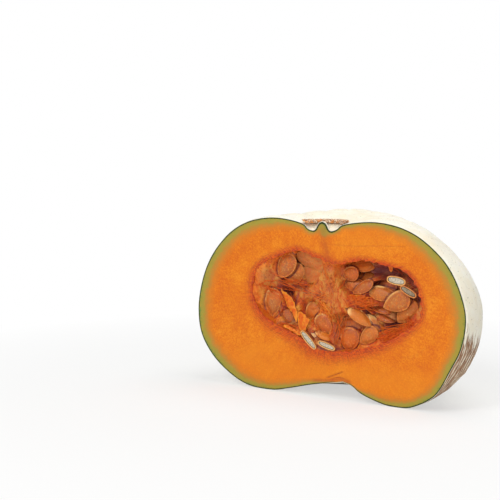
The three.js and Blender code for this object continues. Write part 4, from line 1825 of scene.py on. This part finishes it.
@dataclass(frozen=True)
class Strands:
    """The loose fibres that bridge the pulp's hollows."""

    pulp: Pulp = Pulp()
    steps: int = 12
    sides: int = 4
    skeins: tuple[Skein, ...] = (
        Skein(16, (-46, 95), (-16, 89), (5, 3), (5, 4), 0.6, 0.24, 1.6, 0.8),
        Skein(14, (-58, 88), (-46, 86), (4, 3), (3, 4), 1.0, 0.34, 2.0, 0.8),
        Skein(6, (-42, 90), (-32, 83), (2, 2), (3, 3), 0.4, 0.26, 1.2, 0.8),
        Skein(5, (-46, 80), (-37, 76), (2, 3), (3, 4), 1.4, 0.26, 1.5, 0.6),
        Skein(18, (22, 85), (42, 83), (5, 3), (5, 4), 1.0, 0.42, 2.6, 0.7),
        Skein(10, (32, 83), (50, 77), (5, 4), (4, 3), 1.0, 0.36, 1.8, 0.6),
        Skein(9, (12, 90), (4, 110), (5, 4), (14, 3), 0.3, 0.22, 1.6, 0.5),
        Skein(9, (12, 80), (8, 54), (5, 4), (8, 6), 0.3, 0.24, 1.8, 0.5),
        Skein(7, (8, 86), (-16, 82), (5, 5), (6, 8), 0.3, 0.24, 1.8, 0.3),
        Skein(8, (-14, 66), (-4, 50), (5, 5), (6, 3), 0.4, 0.28, 1.5, 0.6),
        Skein(10, (15, 66), (14, 44), (3, 5), (3, 2), 0.5, 0.3, 1.4, 0.6),
        Skein(30, (48, 52), (78, 66), (6, 2), (5, 2), 0.5, 0.3, 2.4, 0.7),
        Skein(12, (72, 70), (81, 64), (3, 4), (3, 4), 0.5, 0.32, 1.6, 1.0),
        Skein(20, (-54, 58), (-22, 50), (6, 2), (6, 2), 0.4, 0.32, 1.8, 0.8),
        Skein(9, (54, 108), (66, 106), (4, 3), (5, 3), 2.0, 0.3, 1.6, 0.8),
        Skein(12, (-2, 79), (7, 67), (2, 2), (2, 4), 1.2, 0.4, 1.4, 0.0),
        Skein(14, (44, 51), (72, 62), (6, 2), (5, 2), 0.9, 0.34, 2.4, 1.0),
        Skein(8, (-30, 114), (-8, 104), (3, 3), (4, 3), 1.0, 0.26, 1.4, 0.1),
    )

    def build(self, maker: PieceMaker, wet: Material) -> None:
        """Makes every fibre as a thin tube that tapers to both its ends.

        A fibre runs straight from a random start to a random end and wanders off the line with a smooth
        noise. Its depth goes from the bed's at one end to the bed's at the other, less a lift that grows
        with the sine of the way, and it never dives under the bed.

        Args:
            maker: makes the piece.
            wet: the finish.
        """
        draws = np.random.default_rng(29)
        way = np.linspace(0, 1, self.steps)
        sheets = []
        for skein in self.skeins:
            first = draws.normal(skein.start, skein.start_spread, (skein.count, 2))
            last = draws.normal(skein.end, skein.end_spread, (skein.count, 2))
            line = first[:, None] + (last - first)[:, None] * way[None, :, None]
            key = np.stack(np.broadcast_arrays(way[None] * 3, np.arange(skein.count)[:, None] * 7.3), -1)
            sway = np.stack([noise(key, 0.8, 70), noise(key, 0.8, 71)], -1)
            line = line + skein.wander * sway * np.sin(np.pi * way)[:, None]
            bed, _, _ = self.pulp.surface(line[..., 0], line[..., 1], maker.place)
            span = bed[:, :1] + (bed[:, -1:] - bed[:, :1]) * way
            lift = skein.lift * np.sin(np.pi * way) * draws.uniform(0.3, 1.3, (skein.count, 1))
            depth = np.maximum(np.minimum(span, bed + 0.1) - lift, 0.25)
            path = np.stack([line[..., 0], depth, line[..., 1]], -1)
            radius = skein.radius * draws.uniform(0.6, 1.3, (skein.count, 1)) * np.sin(np.pi * way) ** 0.5
            sheets += self.tubes(path, radius, skein.red)
        maker.make("pulp_strands", sheets, [wet])

    def tubes(self, path: Array, radius: Array, red: float) -> list[Sheet]:
        """Carries a small ring along each path, square to it.

        Args:
            path: fibres x steps x 3.
            radius: fibres x steps.
            red: how red the fibres are.

        Returns:
            One closed tube for each fibre.
        """
        ahead = np.gradient(path, axis=1)
        ahead /= np.linalg.norm(ahead, axis=-1, keepdims=True)
        side = np.array([0, 1, 0]) - ahead[..., 1:2] * ahead
        side /= np.linalg.norm(side, axis=-1, keepdims=True)
        up = np.cross(ahead, side)
        turn = whole_turn(self.sides)
        ring = side[..., None, :] * np.cos(turn)[:, None] + up[..., None, :] * np.sin(turn)[:, None]
        points = path[..., None, :] + ring * radius[..., None, None]
        points[:, [0, -1]] = path[:, [0, -1], None]
        along = np.broadcast_to(np.arange(path.shape[1])[:, None] * 1.0, points.shape[1:3])
        even = {"relief": np.full(along.shape, 0.75), "rusty": np.full(along.shape, red)}
        sheets = []
        for tube in points:
            fibre = np.stack([tube[..., 0], along, tube[..., 2]], -1) * MM
            sheets.append(Sheet(tube, {"fibre": fibre, "depth_mm": tube[..., 1], **even}))
        return sheets


@dataclass(frozen=True)
class Film:
    """A thin flap of wet pulp: its edge in order as (x, depth, z), and how far its middle stands out.

    tanned is how much of the tan colour it takes, and creases how high it creases.
    """

    name: str
    edge: tuple[tuple[float, float, float], ...]
    swell: float
    tanned: float = 0.0
    creases: float = 0.35
    thickness: float = 0.5
    around: int = 64
    steps: int = 12

    def sheets(self) -> list[Sheet]:
        """Front and back, drawn from the middle to the edge, which meet there.

        Both lie on the straight lines from the middle to the edge, swollen by one minus the squared share
        of the way and creased by noise.

        Returns:
            The two sheets.
        """
        rim = loop(self.edge, self.around)
        rim = rim + (0.45 * noise(rim[:, [0, 2]], 1.7, 80))[:, None] * [1, 0, 1]
        middle = rim[:-1].mean(axis=0)
        share = np.linspace(0, 1, self.steps)[:, None]
        points = middle + (rim - middle)[None] * share[..., None]
        key = np.stack([points[..., 0], points[..., 2], 0 * points[..., 0]], -1)
        crease = layered(key, (1, 2.2, 81), (0.5, 1.1, 82))
        rise = (self.swell + self.creases * crease) * (1 - share**2)
        front, back = points.copy(), points.copy()
        front[..., 1] -= rise
        back[..., 1] -= rise - self.thickness * np.sqrt(1 - share**2)
        # The relief read sets the colour: the creases get painted shade, and the film is paler toward its
        # edge.
        reads = {
            "relief": np.clip(0.55 + 0.3 * crease + 0.35 * ease(0.6, 1, share), 0, 1),
            "fibre": key * MM,
            "depth_mm": points[..., 1],
            "tanned": np.full(key.shape[:2], self.tanned),
        }
        turned = {name: values[:, ::-1] for name, values in reads.items()}
        looks = np.cross(front[-1, 1] - front[-1, 0], front[-1, 0] - front[-2, 0])
        if looks[1] < 0:
            return [Sheet(front, reads), Sheet(back[:, ::-1], turned)]
        return [Sheet(front[:, ::-1], turned), Sheet(back, reads)]


@dataclass(frozen=True)
class Films:
    """The flaps of pulp that the knife tore loose, some of them over seeds."""

    films: tuple[Film, ...] = (
        Film("flap_long", (
            (-43, 6, 87), (-38, 5.2, 84.5), (-31.4, 4.6, 80.6), (-27.2, 4, 72.1), (-25.2, 3.4, 66.6),
            (-25.7, 2.6, 60.5), (-29, 3.4, 66.4), (-33, 4.4, 70), (-36.4, 5, 72.5), (-38.7, 5.6, 78.1),
        ), 1.0),
        Film("flap_short", (
            (-24.4, 3, 68.6), (-19.5, 2.6, 68.9), (-16, 2.4, 66), (-13.2, 2.6, 63), (-15.5, 2.2, 58),
            (-17.1, 1.6, 53), (-20, 1.8, 52.6), (-23.6, 2.4, 57.1), (-24.6, 2.8, 63),
        ), 0.9),
        Film("lip", (
            (-37, 1.2, 57.6), (-32, 1.1, 57), (-28.6, 1, 55.4), (-24.2, 0.9, 52.8), (-20.4, 0.9, 50.4),
            (-22, 0.5, 50), (-27, 0.4, 51.8), (-32, 0.5, 54), (-36.5, 0.7, 56),
        ), 0.3),
        Film("veil_far", (
            (-29.6, 9.5, 118), (-19, 5.5, 120.4), (-11.5, 4.5, 119.4), (-3.4, 5, 115.4), (-0.6, 6, 108),
            (-4.6, 7, 103.6), (-15, 9, 106), (-24.5, 11, 108.5), (-29.6, 10.8, 113),
        ), 1.6, 0.9),
        Film("veil_inner", (
            (-23.2, 11.5, 107), (-14.8, 9.5, 106.2), (-7.8, 7.5, 104.8), (-4, 7, 101.2), (-5.2, 7, 96.5),
            (-11.6, 6.5, 93.9), (-20.2, 10.5, 94.6), (-23.4, 12, 99.8),
        ), 1.8, 0.8),
        Film("shelf_tongue", (
            (22, 6.5, 86.2), (28, 4.6, 87), (34, 5.6, 86.6), (39, 7.4, 85), (34, 6, 84.9), (29, 4.8, 84.6),
            (23, 6.5, 84.8),
        ), 0.4),
        Film("low_tongue", (
            (29, 4.8, 83.6), (34, 5.8, 83.4), (39, 7.6, 82), (44, 10, 79.4), (39, 8.2, 80), (33.6, 6.4, 80.6),
        ), 0.4),
        Film("roof_drip", (
            (56.4, 7, 112.6), (60, 6.4, 111.8), (60.4, 6.8, 109.4), (59, 6.6, 107.4), (57.4, 6.8, 109.4),
        ), 0.5),
    )

    def build(self, maker: PieceMaker, wet: Material) -> None:
        """Makes each flap as a piece of its own."""
        for film in self.films:
            maker.make("film_" + film.name, film.sheets(), [wet])


# -------- studio


@dataclass(frozen=True)
class Lamp:
    """A soft square lamp: where it hangs and what it points at, in metres, its side and its power."""

    name: str
    place: tuple[float, float, float]
    target: tuple[float, float, float]
    side: float
    watts: float

    def hang(self, origin: Vector) -> None:
        """Adds the lamp.

        Args:
            origin: the point that its place is measured from.
        """
        light = bpy.data.lights.new(self.name, "AREA")
        light.shape = "SQUARE"
        light.size = self.side
        light.energy = self.watts
        lamp = put(self.name, light)
        lamp.location = origin + Vector(self.place)
        aim = Vector(self.target) - Vector(self.place)
        lamp.rotation_euler = aim.to_track_quat("-Z", "Y").to_euler()


@dataclass(frozen=True)
class Studio:
    """A pale floor, soft lamps and the camera. Places are metres from the stem's axis at the cut.

    The floor is near_white beside the fruit and turns to plain white between the two distances of fade.
    """

    camera_place: tuple[float, float, float] = (0.3956, -0.7202, 0.1900)
    camera_tilt: float = 4.69
    camera_turn: float = 32.92
    lens: float = 72.0
    sensor_width: float = 36.0
    clip_start: float = 0.01
    floor_side: float = 12.0
    floor_colour: str = "F4F4F2"
    fade: tuple[float, float] = (0.16, 0.5)
    near_white: float = 0.55
    sky: float = 0.3
    lamps: tuple[Lamp, ...] = (
        Lamp("overhead_lamp", (0.3, 0.15, 1.3), (0, 0.05, 0.1), 1.0, 8.5),
        Lamp("key_lamp", (-0.3, -1.25, 1.35), (0, 0, 0.08), 0.7, 10.8),
        Lamp("fill_lamp", (0.55, -1.35, 0.5), (0, 0, 0.08), 1.0, 5.8),
    )

    def floor(self, origin: Vector) -> None:
        """Makes the floor: matt, near white, and lit up for the camera but still shaded by the fruit.

        Args:
            origin: its middle.
        """
        half = self.floor_side / 2
        signs = ((-1, -1), (1, -1), (1, 1), (-1, 1))
        corners = [(origin.x + side * half, origin.y + end * half, origin.z) for side, end in signs]
        mesh = bpy.data.meshes.new("floor")
        mesh.from_pydata(corners, [], [(0, 1, 2, 3)])
        material = bpy.data.materials.new("matt_white_board")
        add = clear_nodes(material)
        matt = add("BsdfDiffuse", {"Color": linear(self.floor_colour)})
        glow = add("Emission", {"Color": (1, 1, 1, 1), "Strength": 1.0})
        seen = add("LightPath", None, "Is Camera Ray")
        place = add("TexCoord", None, "Object")
        away = add("VectorMath", {0: place, 1: origin}, "Value", operation="DISTANCE")
        first, last = self.fade
        fade = {"Value": away, "From Min": first, "From Max": last, "To Min": self.near_white}
        fade = add("MapRange", fade)
        share = add("Math", {0: seen, 1: fade}, operation="MULTIPLY")
        both = add("MixShader", {0: share, 1: matt, 2: glow})
        add("OutputMaterial", {"Surface": both})
        mesh.materials.append(material)
        floor = put("floor", mesh)

    def sky_light(self) -> None:
        """Makes the world: plain white, at full strength where it is seen and weaker where it lights."""
        world = bpy.data.worlds.new("studio")
        bpy.context.scene.world = world
        add = clear_nodes(world)
        seen = add("LightPath", None, "Is Camera Ray")
        for ray in ("Is Glossy Ray", "Is Transmission Ray"):
            seen = add("Math", {0: seen, 1: add("LightPath", None, ray)}, operation="MAXIMUM")
        strength = add("MapRange", {"Value": seen, "To Min": self.sky, "To Max": 1.0})
        sky = add("Background", {"Color": (1, 1, 1, 1), "Strength": strength})
        add("OutputWorld", {"Surface": sky})

    def camera(self, origin: Vector) -> None:
        """Adds the camera, turned to the left and tilted down, and makes it the scene's.

        Args:
            origin: the point that its place is measured from.
        """
        lens = bpy.data.cameras.new("camera")
        lens.lens = self.lens
        lens.sensor_width = self.sensor_width
        lens.clip_start = self.clip_start
        camera = put("camera", lens)
        camera.location = origin + Vector(self.camera_place)
        camera.rotation_euler = (math.radians(90 - self.camera_tilt), 0, math.radians(self.camera_turn))
        bpy.context.scene.camera = camera

    def build(self, place: FruitFrame) -> None:
        """Sets up the floor, the sky, the lamps and the camera.

        Args:
            place: the fruit's frame.
        """
        origin = Vector((place.stem_x, place.cut_y, place.floor_z))
        self.floor(origin)
        self.sky_light()
        for lamp in self.lamps:
            lamp.hang(origin)
        self.camera(origin)
        bpy.context.scene.view_settings.view_transform = "Standard"


def main() -> None:
    """Builds the half, its pulp and seeds, and the studio."""
    logging.basicConfig(level=logging.INFO, format="%(message)s")
    place = FruitFrame.from_cad()
    maker = PieceMaker(place)
    PumpkinHalf().build(maker, WaxyRind().build(), CutFlesh().build())
    StemScar().build(maker, StemCork().build())
    wet = WetPulp().build()
    Pulp().build(maker, wet)
    strand = WetPulp("pulp_fibre", gap="B8441C", rust="D6521C", orange="E0621E", tan="E67024", light="EE8A2E")
    Strands().build(maker, strand.build())
    flap = WetPulp("pulp_film", gap="C8501C", rust="DA5C1A", orange="E26A1C", tan="E67620", light="F0902A")
    Films().build(maker, flap.build())
    SeedBed().build(maker)
    Studio().build(place)


if __name__ == "__main__":
    main()
